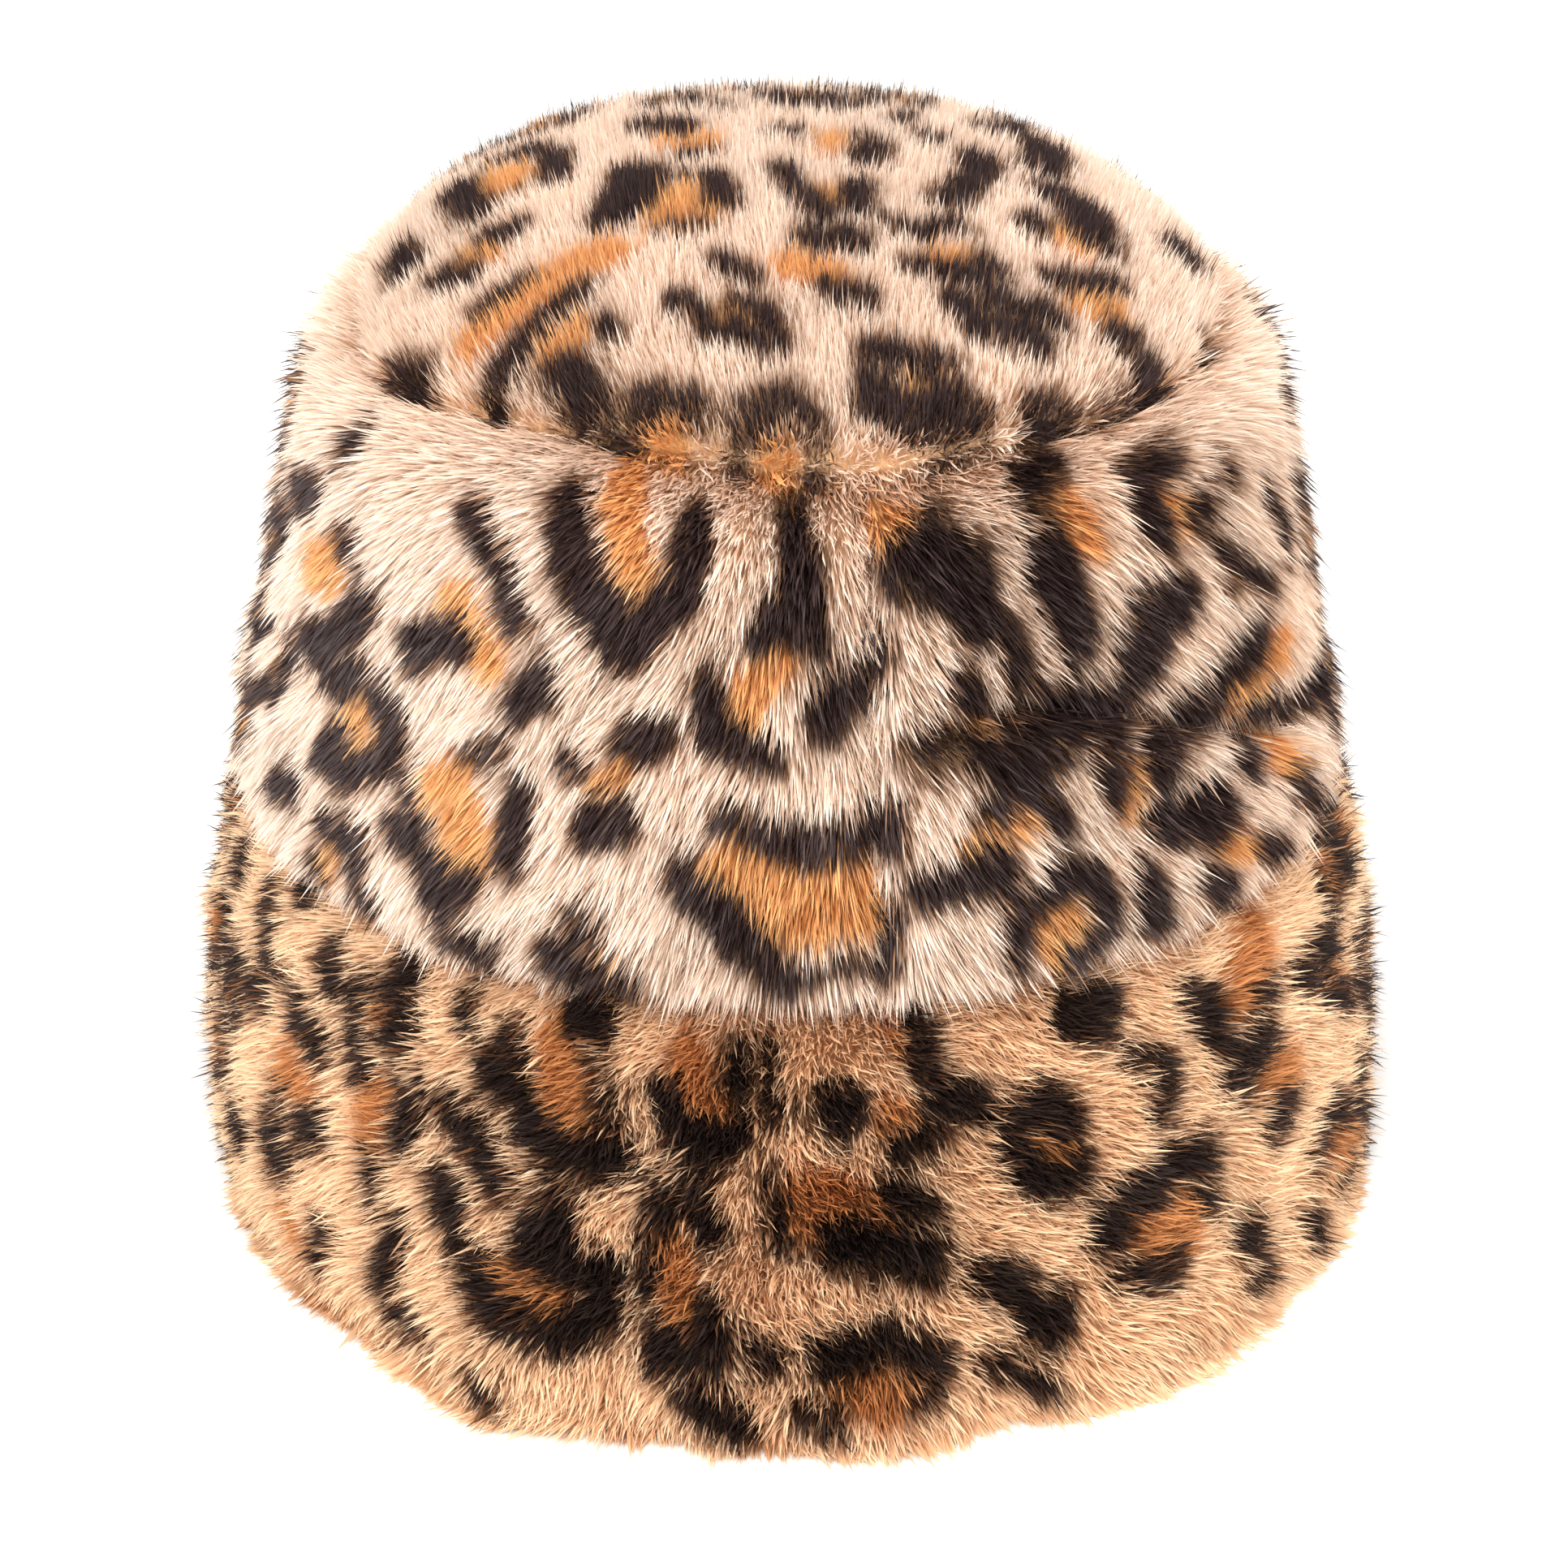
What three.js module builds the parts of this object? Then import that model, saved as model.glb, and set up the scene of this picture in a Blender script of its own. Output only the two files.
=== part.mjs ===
// A soft bucket hat of spotted long-pile plush: a domed oval tip, a side band in two halves and a
// steep drooping brim in two halves, sewn together at deep seams. Millimetres, +Z up, the front
// faces -Y, and the hem of the brim rests on Z = 0.
// Outer sizes are taken over the standing pile, which is modelled as overlapping locks.
import * as THREE from "three";

// Tip: the oval top panel, at its seam with the band, and how far it domes above that seam
const tipWidth = 154;
const tipLength = 178;
const domeHeight = 31;

// Side band, at its seam with the brim
const bandWidth = 191;
const bandLength = 228;
const bandHeight = 73;

// Brim: its hem, and the height of the seam with the band above the hem
const hemWidth = 208;
const hemFrontReach = 150;
const hemBackReach = 138;
const brimHeight = 56;

// Plush: the knitted backing and the pile that stands on it, lying partly flat
const backing = 1.5;
const pile = 9;
const wall = backing + pile;

// Locks of the pile
const lockWidth = 13.5;
const lockLength = 12;
const lockRelief = 2.8;
const lockPoint = 3;

// Seams: the clearance between sewn pieces, and the valley in which the pile parts over them
const seamGap = 0.3;
const seamValley = 3.6;
const seamReach = 6.5;
const hemRounding = 2.4;
const hemReach = 4;

// Where the upright seams run, in degrees from the front towards +X
const bandFrontSeam = 8;
const brimFrontSeam = -2;
const backSeam = 180;

// 2 is an ellipse, and a larger number is squarer
const roundness = 2.1;

// How the band narrows from the brim seam, 0, to the tip seam, 1: the share of the narrowing reached
const BAND_SECTIONS = [
  { up: 0.0, side: 0.0, ends: 0.0 },
  { up: 0.33, side: 0.3, ends: 0.14 },
  { up: 0.67, side: 0.54, ends: 0.42 },
  { up: 1.0, side: 1.0, ends: 1.0 },
];

// How the brim widens from its seam, 0, to the hem, 1: the share of the widening reached
const BRIM_SECTIONS = [
  { down: 0.0, side: 0.0, ends: 0.0 },
  { down: 0.25, side: 0.56, ends: 0.24 },
  { down: 0.5, side: 0.84, ends: 0.51 },
  { down: 1.0, side: 1.0, ends: 1.0 },
];

// How the tip closes in from its seam, 0, to its top, 1: shares of its width, its length and the dome
const TIP_SECTIONS = [
  { up: 0.0, side: 1.0, ends: 1.0, rise: 0.0 },
  { up: 0.2, side: 0.93, ends: 0.96, rise: 0.24 },
  { up: 0.4, side: 0.82, ends: 0.86, rise: 0.49 },
  { up: 0.6, side: 0.64, ends: 0.65, rise: 0.76 },
  { up: 0.8, side: 0.38, ends: 0.38, rise: 0.94 },
  { up: 1.0, side: 0.0, ends: 0.0, rise: 1.0 },
];

// Soft waves of the hem: each swells by a share of the wall, or lifts off the floor by another
const HEM_WAVES = [
  { at: -24, spread: 8, swell: 0.5, lift: 0.0 },
  { at: -13, spread: 5, swell: -0.14, lift: 0.16 },
  { at: 16, spread: 5, swell: -0.2, lift: 0.24 },
  { at: 32, spread: 13, swell: 0.42, lift: 0.0 },
  { at: -52, spread: 16, swell: 0.3, lift: 0.0 },
  { at: 56, spread: 16, swell: 0.48, lift: 0.0 },
  { at: 84, spread: 14, swell: 0.1, lift: 0.0 },
  { at: 118, spread: 8, swell: -0.14, lift: 0.26 },
  { at: 156, spread: 16, swell: 0.22, lift: 0.0 },
  { at: -96, spread: 16, swell: 0.16, lift: 0.0 },
  { at: -134, spread: 8, swell: -0.12, lift: 0.26 },
];

// Rise of the tip seam round the crown, as a share of the dome
const TIP_SEAM_WAVES = [
  { at: -72, spread: 16, rise: -0.1 },
  { at: -26, spread: 14, rise: 0.08 },
  { at: 8, spread: 12, rise: -0.05 },
  { at: 30, spread: 12, rise: 0.04 },
  { at: 130, spread: 25, rise: -0.05 },
  { at: -140, spread: 25, rise: 0.05 },
];

// Slumped folds that run round the band: depth as a share of the wall
const BAND_FOLDS = [
  { at: 52, spread: 24, up: 0.3, high: 0.07, depth: 0.34 },
  { at: -66, spread: 16, up: 0.44, high: 0.07, depth: 0.26 },
  { at: -86, spread: 22, up: 0.24, high: 0.12, depth: -0.22 },
  { at: 150, spread: 26, up: 0.38, high: 0.08, depth: 0.28 },
];

const radians = THREE.MathUtils.degToRad;

// A column of a section table at a share of the way along, on a smooth curve through its rows
function along(table, key, column, share) {
  const next = Math.max(1, table.findIndex((row) => row[key] >= share - 1e-9));
  const [low, high] = [table[next - 1], table[next]];
  const before = table[next - 2] ?? low;
  const after = table[next + 1] ?? high;
  const span = high[key] - low[key];
  const slope = (a, b) => (a === b ? 0 : (b[column] - a[column]) / (b[key] - a[key]));
  const t = (share - low[key]) / span;
  const slopeIn = before === low ? slope(low, high) : slope(before, high);
  const slopeOut = after === high ? slope(low, high) : slope(low, after);
  const hermite = (2 * t ** 3 - 3 * t ** 2 + 1) * low[column] + (3 * t ** 2 - 2 * t ** 3) * high[column];
  return hermite + span * ((t ** 3 - 2 * t ** 2 + t) * slopeIn + (t ** 3 - t ** 2) * slopeOut);
}

// The sum of a table of bumps round the hat, each a bell of its own spread
function bumps(table, column, degrees) {
  let sum = 0;
  for (const bump of table) {
    const away = ((degrees - bump.at + 540) % 360) - 180;
    sum += bump[column] * Math.exp(-((away / bump.spread) ** 2));
  }
  return sum;
}

// A point of an oval ring. Angle 0 is the front, and 90 is +X
function ringPoint(degrees, halfWidth, front, back, height) {
  const [sine, cosine] = [Math.sin(radians(degrees)), Math.cos(radians(degrees))];
  const bend = 2 / roundness;
  const reach = cosine > 0 ? front : back;
  return new THREE.Vector3(
    halfWidth * Math.sign(sine) * Math.abs(sine) ** bend,
    -reach * Math.sign(cosine) * Math.abs(cosine) ** bend,
    height,
  );
}

const tipSeamHeight = (degrees) =>
  brimHeight + bandHeight + domeHeight * bumps(TIP_SEAM_WAVES, "rise", degrees);

// The valley over a seam or the rounding of the hem, at a distance from it
const valley = (distance, depth, reach) => depth * Math.exp(-((distance / reach) ** 2));

// A point of the band: up is 0 at the brim seam and 1 at the tip seam, inset is measured inwards
function bandPoint(degrees, up, inset) {
  const side = THREE.MathUtils.lerp(bandWidth, tipWidth, along(BAND_SECTIONS, "up", "side", up)) / 2;
  const end = THREE.MathUtils.lerp(bandLength, tipLength, along(BAND_SECTIONS, "up", "ends", up)) / 2;
  const bottom = brimHeight + seamGap / 2;
  const height = THREE.MathUtils.lerp(bottom, tipSeamHeight(degrees) - seamGap / 2, up);
  return ringPoint(degrees, side - inset, end - inset, end - inset, height);
}

// A point of the brim: down is 0 at the band seam and 1 at the hem
function brimPoint(degrees, down, inset) {
  const [sides, ends] = ["side", "ends"].map((column) => along(BRIM_SECTIONS, "down", column, down));
  const swell = wall * bumps(HEM_WAVES, "swell", degrees) * down ** 2 - inset;
  const lift = wall * bumps(HEM_WAVES, "lift", degrees) * down ** 3;
  return ringPoint(
    degrees,
    THREE.MathUtils.lerp(bandWidth / 2, hemWidth / 2, sides) + swell,
    THREE.MathUtils.lerp(bandLength / 2, hemFrontReach, ends) + swell,
    THREE.MathUtils.lerp(bandLength / 2, hemBackReach, ends) + swell,
    (brimHeight - seamGap / 2) * (1 - down) + lift,
  );
}

// A point of the tip: up is 0 at its seam and 1 at the top of the dome
function tipPoint(degrees, up, inset) {
  const [side, end, rise] = ["side", "ends", "rise"].map((column) => along(TIP_SECTIONS, "up", column, up));
  const seam = tipSeamHeight(degrees) + seamGap / 2;
  const top = brimHeight + bandHeight + domeHeight - inset;
  const reach = (tipLength / 2 - inset) * end;
  const height = THREE.MathUtils.lerp(seam, top, rise);
  return ringPoint(degrees, (tipWidth / 2 - inset) * side, reach, reach, height);
}

// The rows of one lock, from its root at 0 to its tip: how far the pile lies under the tops of the
// locks down its middle and down its two edges, and how far its point has grown. A lock is two
// columns wide, and the locks below are set half a lock over and come out from under the tips
const LOCK_ROWS = [
  { at: 0.0, middle: 0.8, edge: 1.0, point: 1.0 },
  { at: 0.4, middle: 0.35, edge: 0.85, point: 0.4 },
  { at: 0.88, middle: 0.0, edge: 0.5, point: 1.0 },
];

// Where a corner of the locks lies: its share of the way down the panel, and its inset
function lockCorner(row, rows, column, length) {
  const step = LOCK_ROWS[row % LOCK_ROWS.length];
  const lockRow = Math.floor(row / LOCK_ROWS.length);
  const inMiddle = (column + lockRow) % 2 === 0;
  const fromTip = row % LOCK_ROWS.length === 0 ? !inMiddle : inMiddle;
  const inside = row > 0 && row < rows;
  const shift = inside ? (fromTip ? 1 : -1) * step.point * lockPoint : 0;
  const share = ((lockRow + step.at) * LOCK_ROWS.length) / rows + shift / length;
  const lowest = inside ? 1 - 0.3 / rows : 1;
  return { share: Math.min(share, lowest), inset: lockRelief * (inMiddle ? step.middle : step.edge) };
}

// Triangles between two rows of points that run the same way, facing (b - a) x along
function zip(a, b, triangles) {
  let [i, j] = [0, 0];
  while (i < a.length - 1 || j < b.length - 1) {
    const stepA = (i + 1) / (a.length - 1) <= (j + 1) / (b.length - 1);
    if (j === b.length - 1 || (stepA && i < a.length - 1)) {
      triangles.push([a[i], b[j], a[i + 1]]);
      i += 1;
    } else {
      triangles.push([a[i], b[j], b[j + 1]]);
      j += 1;
    }
  }
}

function skin(rows, triangles) {
  for (let i = 0; i < rows.length - 1; i += 1) zip(rows[i], rows[i + 1], triangles);
}

const ends = (rows, pick) => rows.map((row) => row.at(pick));

function meshOf(name, triangles, material) {
  const corners = triangles.flat().flatMap((point) => point.toArray());
  const geometry = new THREE.BufferGeometry();
  geometry.setAttribute("position", new THREE.Float32BufferAttribute(corners, 3));
  geometry.computeVertexNormals();
  const mesh = new THREE.Mesh(geometry, material);
  mesh.name = name;
  return mesh;
}

// Half of the band or the brim, from one upright seam to the next. Rows run from top to bottom
function halfPanel({ name, from, to, height, girth, point, inset, material }) {
  const margin = THREE.MathUtils.radToDeg(seamGap / tipWidth);
  const locks = Math.round((girth * (to - from)) / 360 / lockWidth);
  const columns = 2 * locks;
  const rows = LOCK_ROWS.length * Math.round(height / lockLength);
  const innerRows = 4;
  const angle = (column) => THREE.MathUtils.lerp(from + margin, to - margin, column / columns);
  const seamDistance = (column) => (Math.min(column, columns - column) * lockWidth) / 2;
  const outer = [];
  for (let row = 0; row <= rows; row += 1) {
    const line = [];
    for (let column = 0; column <= columns; column += 1) {
      const corner = lockCorner(row, rows, column, height);
      const parting = valley(seamDistance(column), seamValley, seamReach);
      const depth = Math.max(parting, inset(corner.share, angle(column))) + corner.inset;
      line.push(point(angle(column), corner.share, Math.min(depth, pile)));
    }
    outer.push(line);
  }
  const inner = [];
  for (let row = 0; row <= innerRows; row += 1) {
    const line = [];
    for (let column = 0; column <= columns; column += 2) {
      line.push(point(angle(column), row / innerRows, wall));
    }
    inner.push(line);
  }
  const triangles = [];
  skin(outer, triangles);
  skin([...inner].reverse(), triangles);
  zip(inner[0], outer[0], triangles);
  zip(outer.at(-1), inner.at(-1), triangles);
  zip(ends(outer, 0), ends(inner, 0), triangles);
  zip(ends(inner, -1), ends(outer, -1), triangles);
  return meshOf(name, triangles, material);
}

const bandSurface = {
  height: bandHeight,
  girth: Math.PI * Math.hypot(bandWidth, bandLength) * Math.SQRT1_2,
  point: (degrees, down, inset) => bandPoint(degrees, 1 - down, inset),
  inset: (down, degrees) => {
    const folds = BAND_FOLDS.reduce((sum, fold) => {
      const across = Math.exp(-(((1 - down - fold.up) / fold.high) ** 2));
      return sum + wall * across * bumps([fold], "depth", degrees);
    }, 0);
    const atTip = valley(down * bandHeight, seamValley, seamReach);
    const atBrim = valley((1 - down) * bandHeight, seamValley, seamReach);
    return Math.max(atTip, atBrim, folds);
  },
};

const brimSurface = {
  height: brimHeight,
  girth: Math.PI * Math.hypot(hemWidth, hemFrontReach + hemBackReach) * Math.SQRT1_2,
  point: brimPoint,
  inset: (down) => {
    const atBand = valley(down * brimHeight, seamValley, seamReach);
    return Math.max(atBand, valley((1 - down) * brimHeight, hemRounding, hemReach));
  },
};

// The tip: rings of fewer and fewer columns up to the pole, inside and out
function tipPanel(name, material) {
  const girth = Math.PI * Math.hypot(tipWidth, tipLength) * Math.SQRT1_2;
  const around = 2 * Math.round(girth / lockWidth);
  const slope = Math.hypot(tipLength / 2, domeHeight);
  const rows = LOCK_ROWS.length * Math.round(slope / lockLength);
  const columnsAt = (row, of, full) => {
    const girthLeft = along(TIP_SECTIONS, "up", "ends", 1 - row / of);
    return 2 * Math.max(3, Math.round((full / 2) * girthLeft));
  };
  const ring = (columns, corner) => {
    const line = [];
    for (let column = 0; column < columns; column += 1) {
      const { share, inset } = corner(column);
      line.push(tipPoint((360 * column) / columns, 1 - share, inset));
    }
    return [...line, line[0]];
  };
  const outer = [Array(2).fill(tipPoint(0, 1, lockRelief))];
  for (let row = 1; row <= rows; row += 1) {
    const lockEnd = LOCK_ROWS.length * Math.ceil((row + 0.5) / LOCK_ROWS.length);
    const columns = columnsAt(Math.min(lockEnd, rows), rows, around);
    outer.push(
      ring(columns, (column) => {
        const { share, inset } = lockCorner(row, rows, column, slope);
        return { share, inset: inset + valley((1 - share) * slope, seamValley, seamReach) };
      }),
    );
  }
  const innerRows = 5;
  const inner = [Array(2).fill(tipPoint(0, 1, wall))];
  for (let row = 1; row <= innerRows; row += 1) {
    const columns = columnsAt(row, innerRows, around / 2);
    inner.push(ring(columns, () => ({ share: row / innerRows, inset: wall })));
  }
  const triangles = [];
  skin(outer, triangles);
  skin([...inner].reverse(), triangles);
  zip(outer.at(-1), inner.at(-1), triangles);
  const real = triangles.filter(([a, b, c]) => !(a.equals(b) || b.equals(c) || a.equals(c)));
  return meshOf(name, real, material);
}

const plush = (colour) => new THREE.MeshStandardMaterial({ color: colour, roughness: 0.9, metalness: 0 });
const tipPlush = plush(0xecd0a8);
const bandPlush = plush(0xe8caa2);
const brimPlush = plush(0xd6ab78);

const hat = new THREE.Group();
hat.add(
  tipPanel("crown_tip", tipPlush),
  halfPanel({
    name: "side_band_left",
    from: backSeam - 360,
    to: bandFrontSeam,
    material: bandPlush,
    ...bandSurface,
  }),
  halfPanel({
    name: "side_band_right",
    from: bandFrontSeam,
    to: backSeam,
    material: bandPlush,
    ...bandSurface,
  }),
  halfPanel({
    name: "brim_left",
    from: backSeam - 360,
    to: brimFrontSeam,
    material: brimPlush,
    ...brimSurface,
  }),
  halfPanel({
    name: "brim_right",
    from: brimFrontSeam,
    to: backSeam,
    material: brimPlush,
    ...brimSurface,
  }),
);

// The middle of the hat's footprint goes on the Z axis, with the hem on Z = 0
const bounds = new THREE.Box3().setFromObject(hat);
const footprint = bounds.getCenter(new THREE.Vector3());
hat.position.set(-footprint.x, -footprint.y, -bounds.min.z);

export default hat;
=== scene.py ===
"""A leopard-print plush bucket hat standing on its brim: five sewn pelts, each with a backing and an
undercoat, and the long pile that grows on them."""

import bmesh
import bpy
import numpy as np
from bpy.props import FloatProperty, FloatVectorProperty, IntProperty, PointerProperty
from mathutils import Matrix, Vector


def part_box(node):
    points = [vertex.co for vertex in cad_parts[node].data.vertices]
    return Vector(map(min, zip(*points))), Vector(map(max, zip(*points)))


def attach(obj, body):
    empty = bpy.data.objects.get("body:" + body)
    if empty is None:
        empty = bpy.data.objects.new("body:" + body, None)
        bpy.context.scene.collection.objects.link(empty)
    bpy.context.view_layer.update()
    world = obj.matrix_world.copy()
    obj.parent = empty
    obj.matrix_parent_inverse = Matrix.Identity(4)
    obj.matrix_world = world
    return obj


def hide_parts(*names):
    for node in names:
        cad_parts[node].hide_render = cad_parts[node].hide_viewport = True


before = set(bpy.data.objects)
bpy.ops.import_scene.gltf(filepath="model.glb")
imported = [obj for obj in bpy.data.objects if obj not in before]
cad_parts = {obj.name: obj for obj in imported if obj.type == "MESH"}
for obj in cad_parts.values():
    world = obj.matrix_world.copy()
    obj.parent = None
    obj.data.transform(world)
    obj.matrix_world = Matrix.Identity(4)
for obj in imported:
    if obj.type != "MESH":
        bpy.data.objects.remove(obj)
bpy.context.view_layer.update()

bl_info = {
    "name": "Leopard plush bucket hat",
    "version": (1, 0, 0),
    "blender": (4, 5, 0),
    "location": "3D View > Sidebar > Plush hat",
    "description": "Builds the sewn pelts and the standing pile of a leopard-print bucket hat",
    "category": "Object",
}

MM = 0.001

# The photograph's width in pixels, and its pixels to the millimetre at the hat's middle
IMAGE_WIDTH, PER_MM = 1932, 7.0


def linear(code):
    """A colour written as sRGB hex, as linear red, green and blue."""
    levels = [int(code[i : i + 2], 16) / 255 for i in (1, 3, 5)]
    return [v / 12.92 if v <= 0.04045 else ((v + 0.055) / 1.055) ** 2.4 for v in levels]


# Sizes and colours that a user would change


def length(name, description, millimetres):
    return FloatProperty(
        name=name,
        description=description,
        default=millimetres * MM,
        unit="LENGTH",
        subtype="DISTANCE",
        precision=4,
    )


def colour(name, description, code):
    return FloatVectorProperty(
        name=name, description=description, default=linear(code), size=3, subtype="COLOR", min=0, max=1
    )


class HatShape(bpy.types.PropertyGroup):
    """Outer sizes of the hat, over its standing pile."""

    tip_width: length("Tip width", "Width of the oval tip at its seam", 154)
    tip_length: length("Tip length", "Length of the oval tip at its seam", 178)
    dome_height: length("Dome height", "Rise of the tip above its seam", 31)
    band_width: length("Band width", "Width of the band at the brim seam", 191)
    band_length: length("Band length", "Length of the band at the brim seam", 228)
    band_height: length("Band height", "Height of the band between its seams", 73)
    hem_width: length("Hem width", "Width of the brim at its hem", 208)
    hem_front: length("Hem front reach", "From the middle of the hat to the hem's front", 150)
    hem_back: length("Hem back reach", "From the middle of the hat to the hem's back", 138)
    brim_height: length("Brim height", "Height of the brim seam above the hem", 56)
    wall: length("Wall", "Backing and standing pile together", 10.5)
    seam_gap: length("Seam gap", "Clearance between sewn pieces", 0.3)
    roundness: FloatProperty(
        name="Roundness", description="2 is an oval, larger is squarer", default=2.1, min=1.5, max=4.0
    )
    band_seam: FloatProperty(
        name="Band front seam", description="Degrees from the front, towards +X", default=8.0
    )
    brim_seam: FloatProperty(
        name="Brim front seam", description="Degrees from the front, towards +X", default=-2.0
    )


class HatPile(bpy.types.PropertyGroup):
    """The pile: how long and thick its hairs are and how many grow on each pelt."""

    hairs: IntProperty(
        name="Hairs a pelt", description="Drawn hairs on each of the five pelts", default=184000, min=100
    )
    hair_width: length("Hair width", "Drawn width of a hair at its widest, a few real fibres", 0.15)
    tip_hair: length("Tip hair", "Length of the hairs on the tip", 6.4)
    band_hair: length("Band hair", "Length of the hairs on the band", 8.8)
    brim_hair: length("Brim hair", "Length of the hairs on the brim", 6.8)
    tip_depth: length("Tip undercoat", "Depth of the tip's undercoat below the outline", 7.2)
    band_depth: length("Band undercoat", "Depth of the band's undercoat below the outline", 4.5)
    brim_depth: length("Brim undercoat", "Depth of the brim's undercoat below the outline", 7.6)


class HatPrint(bpy.types.PropertyGroup):
    """Dyed colours of the print. The brim's are drawn deeper and warmer than the crown's: painted shade in
    its ruffled pile, which is seen end on, and painted sheen on the crown's combed pile.
    """

    # The crown's colours, drawn lighter than the brim's as painted sheen on its combed pile
    cream: colour("Crown cream", "Ground colour of the tip and the band", "#FDE8D6")
    # Darker than the cream, partly as deeper dye and partly as painted shade down in the pile; it colours
    # the roots of the hairs and the undercoat
    deep_and_shaded_cream: colour("Crown cream, deep", "The same near the roots", "#F1C292")
    tan: colour("Crown tan", "Inside of the rosettes on the crown", "#F3B777")
    dark: colour("Crown dark", "Rosettes on the crown", "#42312F")
    halo: colour("Crown brown", "Edges of the rosettes on the crown", "#A87B58")
    # The brim's colours, drawn deeper and warmer than the crown's as painted shade in its ruffled pile
    brim_cream: colour("Brim cream", "Ground colour of the brim", "#FDD8B0")
    # The same for the brim: partly deeper dye and partly painted shade down in the pile
    deep_and_shaded_brim_cream: colour("Brim cream, deep", "The same near the roots", "#E9B07E")
    brim_tan: colour("Brim tan", "Inside of the rosettes on the brim", "#D58F55")
    brim_dark: colour("Brim dark", "Rosettes on the brim", "#2B1911")
    brim_halo: colour("Brim brown", "Edges of the rosettes on the brim", "#84502C")
    backing: colour("Backing", "Knitted ground of the plush, seen inside", "#D9C7AC")


# The shape, from the same sections as the solids

# Shares of the narrowing or widening reached at a share of the way along
BAND_UP, BAND_SIDE, BAND_ENDS = (0, 0.33, 0.67, 1), (0, 0.3, 0.54, 1), (0, 0.14, 0.42, 1)
BRIM_DOWN, BRIM_SIDE, BRIM_ENDS = (0, 0.25, 0.5, 1), (0, 0.56, 0.84, 1), (0, 0.24, 0.51, 1)
TIP_UP = (0, 0.2, 0.4, 0.6, 0.8, 1)
TIP_SIDE, TIP_ENDS, TIP_RISE = (
    (1, 0.93, 0.82, 0.64, 0.38, 0),
    (1, 0.96, 0.86, 0.65, 0.38, 0),
    (0, 0.24, 0.49, 0.76, 0.94, 1),
)

# Bells round the hat: degrees, spread in degrees, size as a share of the wall or of the dome
HEM_SWELLS = (
    (-24, 8, 0.5),
    (-13, 5, -0.14),
    (16, 5, -0.2),
    (32, 13, 0.42),
    (-52, 16, 0.3),
    (56, 16, 0.48),
    (84, 14, 0.1),
    (118, 8, -0.14),
    (156, 16, 0.22),
    (-96, 16, 0.16),
    (-134, 8, -0.12),
)
HEM_LIFTS = ((-13, 5, 0.16), (16, 5, 0.24), (118, 8, 0.26), (-134, 8, 0.26))
TIP_SEAM_RISES = (
    (-72, 16, -0.1),
    (-26, 14, 0.08),
    (8, 12, -0.05),
    (30, 12, 0.04),
    (130, 25, -0.05),
    (-140, 25, 0.05),
)

# Slumped folds of the band: degrees, spread, share up, its spread, depth as a share of the wall
BAND_FOLDS = (
    (52, 24, 0.3, 0.07, 0.5),
    (-66, 16, 0.44, 0.07, 0.36),
    (-86, 22, 0.24, 0.12, -0.22),
    (150, 26, 0.38, 0.08, 0.4),
)

# Lines on the band that its pile parts along: degrees and shares of the way down
PARTINGS = (((12, 0.41), (22, 0.4), (30, 0.45), (38, 0.51), (52, 0.61), (64, 0.73)),)


def along(places, values, share):
    """A column of a section table at a share of the way, on a smooth curve through its rows."""
    x, y = np.array(places, float), np.array(values, float)
    slopes = np.empty_like(x)
    slopes[1:-1] = (y[2:] - y[:-2]) / (x[2:] - x[:-2])
    slopes[0], slopes[-1] = (y[1] - y[0]) / (x[1] - x[0]), (y[-1] - y[-2]) / (x[-1] - x[-2])
    share = np.clip(share, 0, 1)
    i = np.clip(np.searchsorted(x, share, side="left") - 1, 0, len(x) - 2)
    span = x[i + 1] - x[i]
    t = (share - x[i]) / span
    curve = (2 * t**3 - 3 * t**2 + 1) * y[i] + (3 * t**2 - 2 * t**3) * y[i + 1]
    return curve + span * ((t**3 - 2 * t**2 + t) * slopes[i] + (t**3 - t**2) * slopes[i + 1])


def bell(distance, reach):
    """One at no distance, falling off smoothly past the reach."""
    return np.exp(-((distance / reach) ** 2))


def away(degrees, at):
    """Degrees round the hat from a place, the short way."""
    return (degrees - at + 540) % 360 - 180


def bells(rows, degrees):
    """The sum of bells round the hat, each of its own spread."""
    return sum(size * bell(away(degrees, at), spread) for at, spread, size in rows)


def at_front(degrees):
    """How near a place is to the front, where the crown's seams are dragged."""
    return bell(away(degrees, 6), 34)


def ring(degrees, half_width, front, back, height, roundness):
    """Points of an oval ring. Angle 0 is the front and 90 is +X."""
    sine, cosine = np.sin(np.radians(degrees)), np.cos(np.radians(degrees))
    bend = 2 / roundness
    reach = np.where(cosine > 0, front, back)
    x = half_width * np.sign(sine) * np.abs(sine) ** bend
    y = -reach * np.sign(cosine) * np.abs(cosine) ** bend
    return np.stack([x, y, height + 0 * x], -1)


def ripple(x, y, size, seed):
    """Soft seeded waves about size wide, from -1 to 1, over coordinates in millimetres."""
    rng = np.random.default_rng(seed)
    total = 0.0
    for turn, stretch, phase in zip(
        rng.uniform(0, 2 * np.pi, 7), rng.uniform(0.6, 1.5, 7), rng.uniform(0, 2 * np.pi, 7)
    ):
        wave = 2 * np.pi * stretch / size
        total = total + np.sin(wave * (x * np.cos(turn) + y * np.sin(turn)) + phase)
    return total / 3.6


# The middle of the hat's ovals in the frame, which the waves of the hem set off its box
TIP_LOW, TIP_HIGH = (np.array(corner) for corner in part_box("crown_tip"))
MIDDLE = (TIP_LOW + TIP_HIGH) / 2 * (1, 1, 0)


def tip_seam_height(hat, degrees):
    return hat.brim_height + hat.band_height + hat.dome_height * bells(TIP_SEAM_RISES, degrees)


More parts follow.
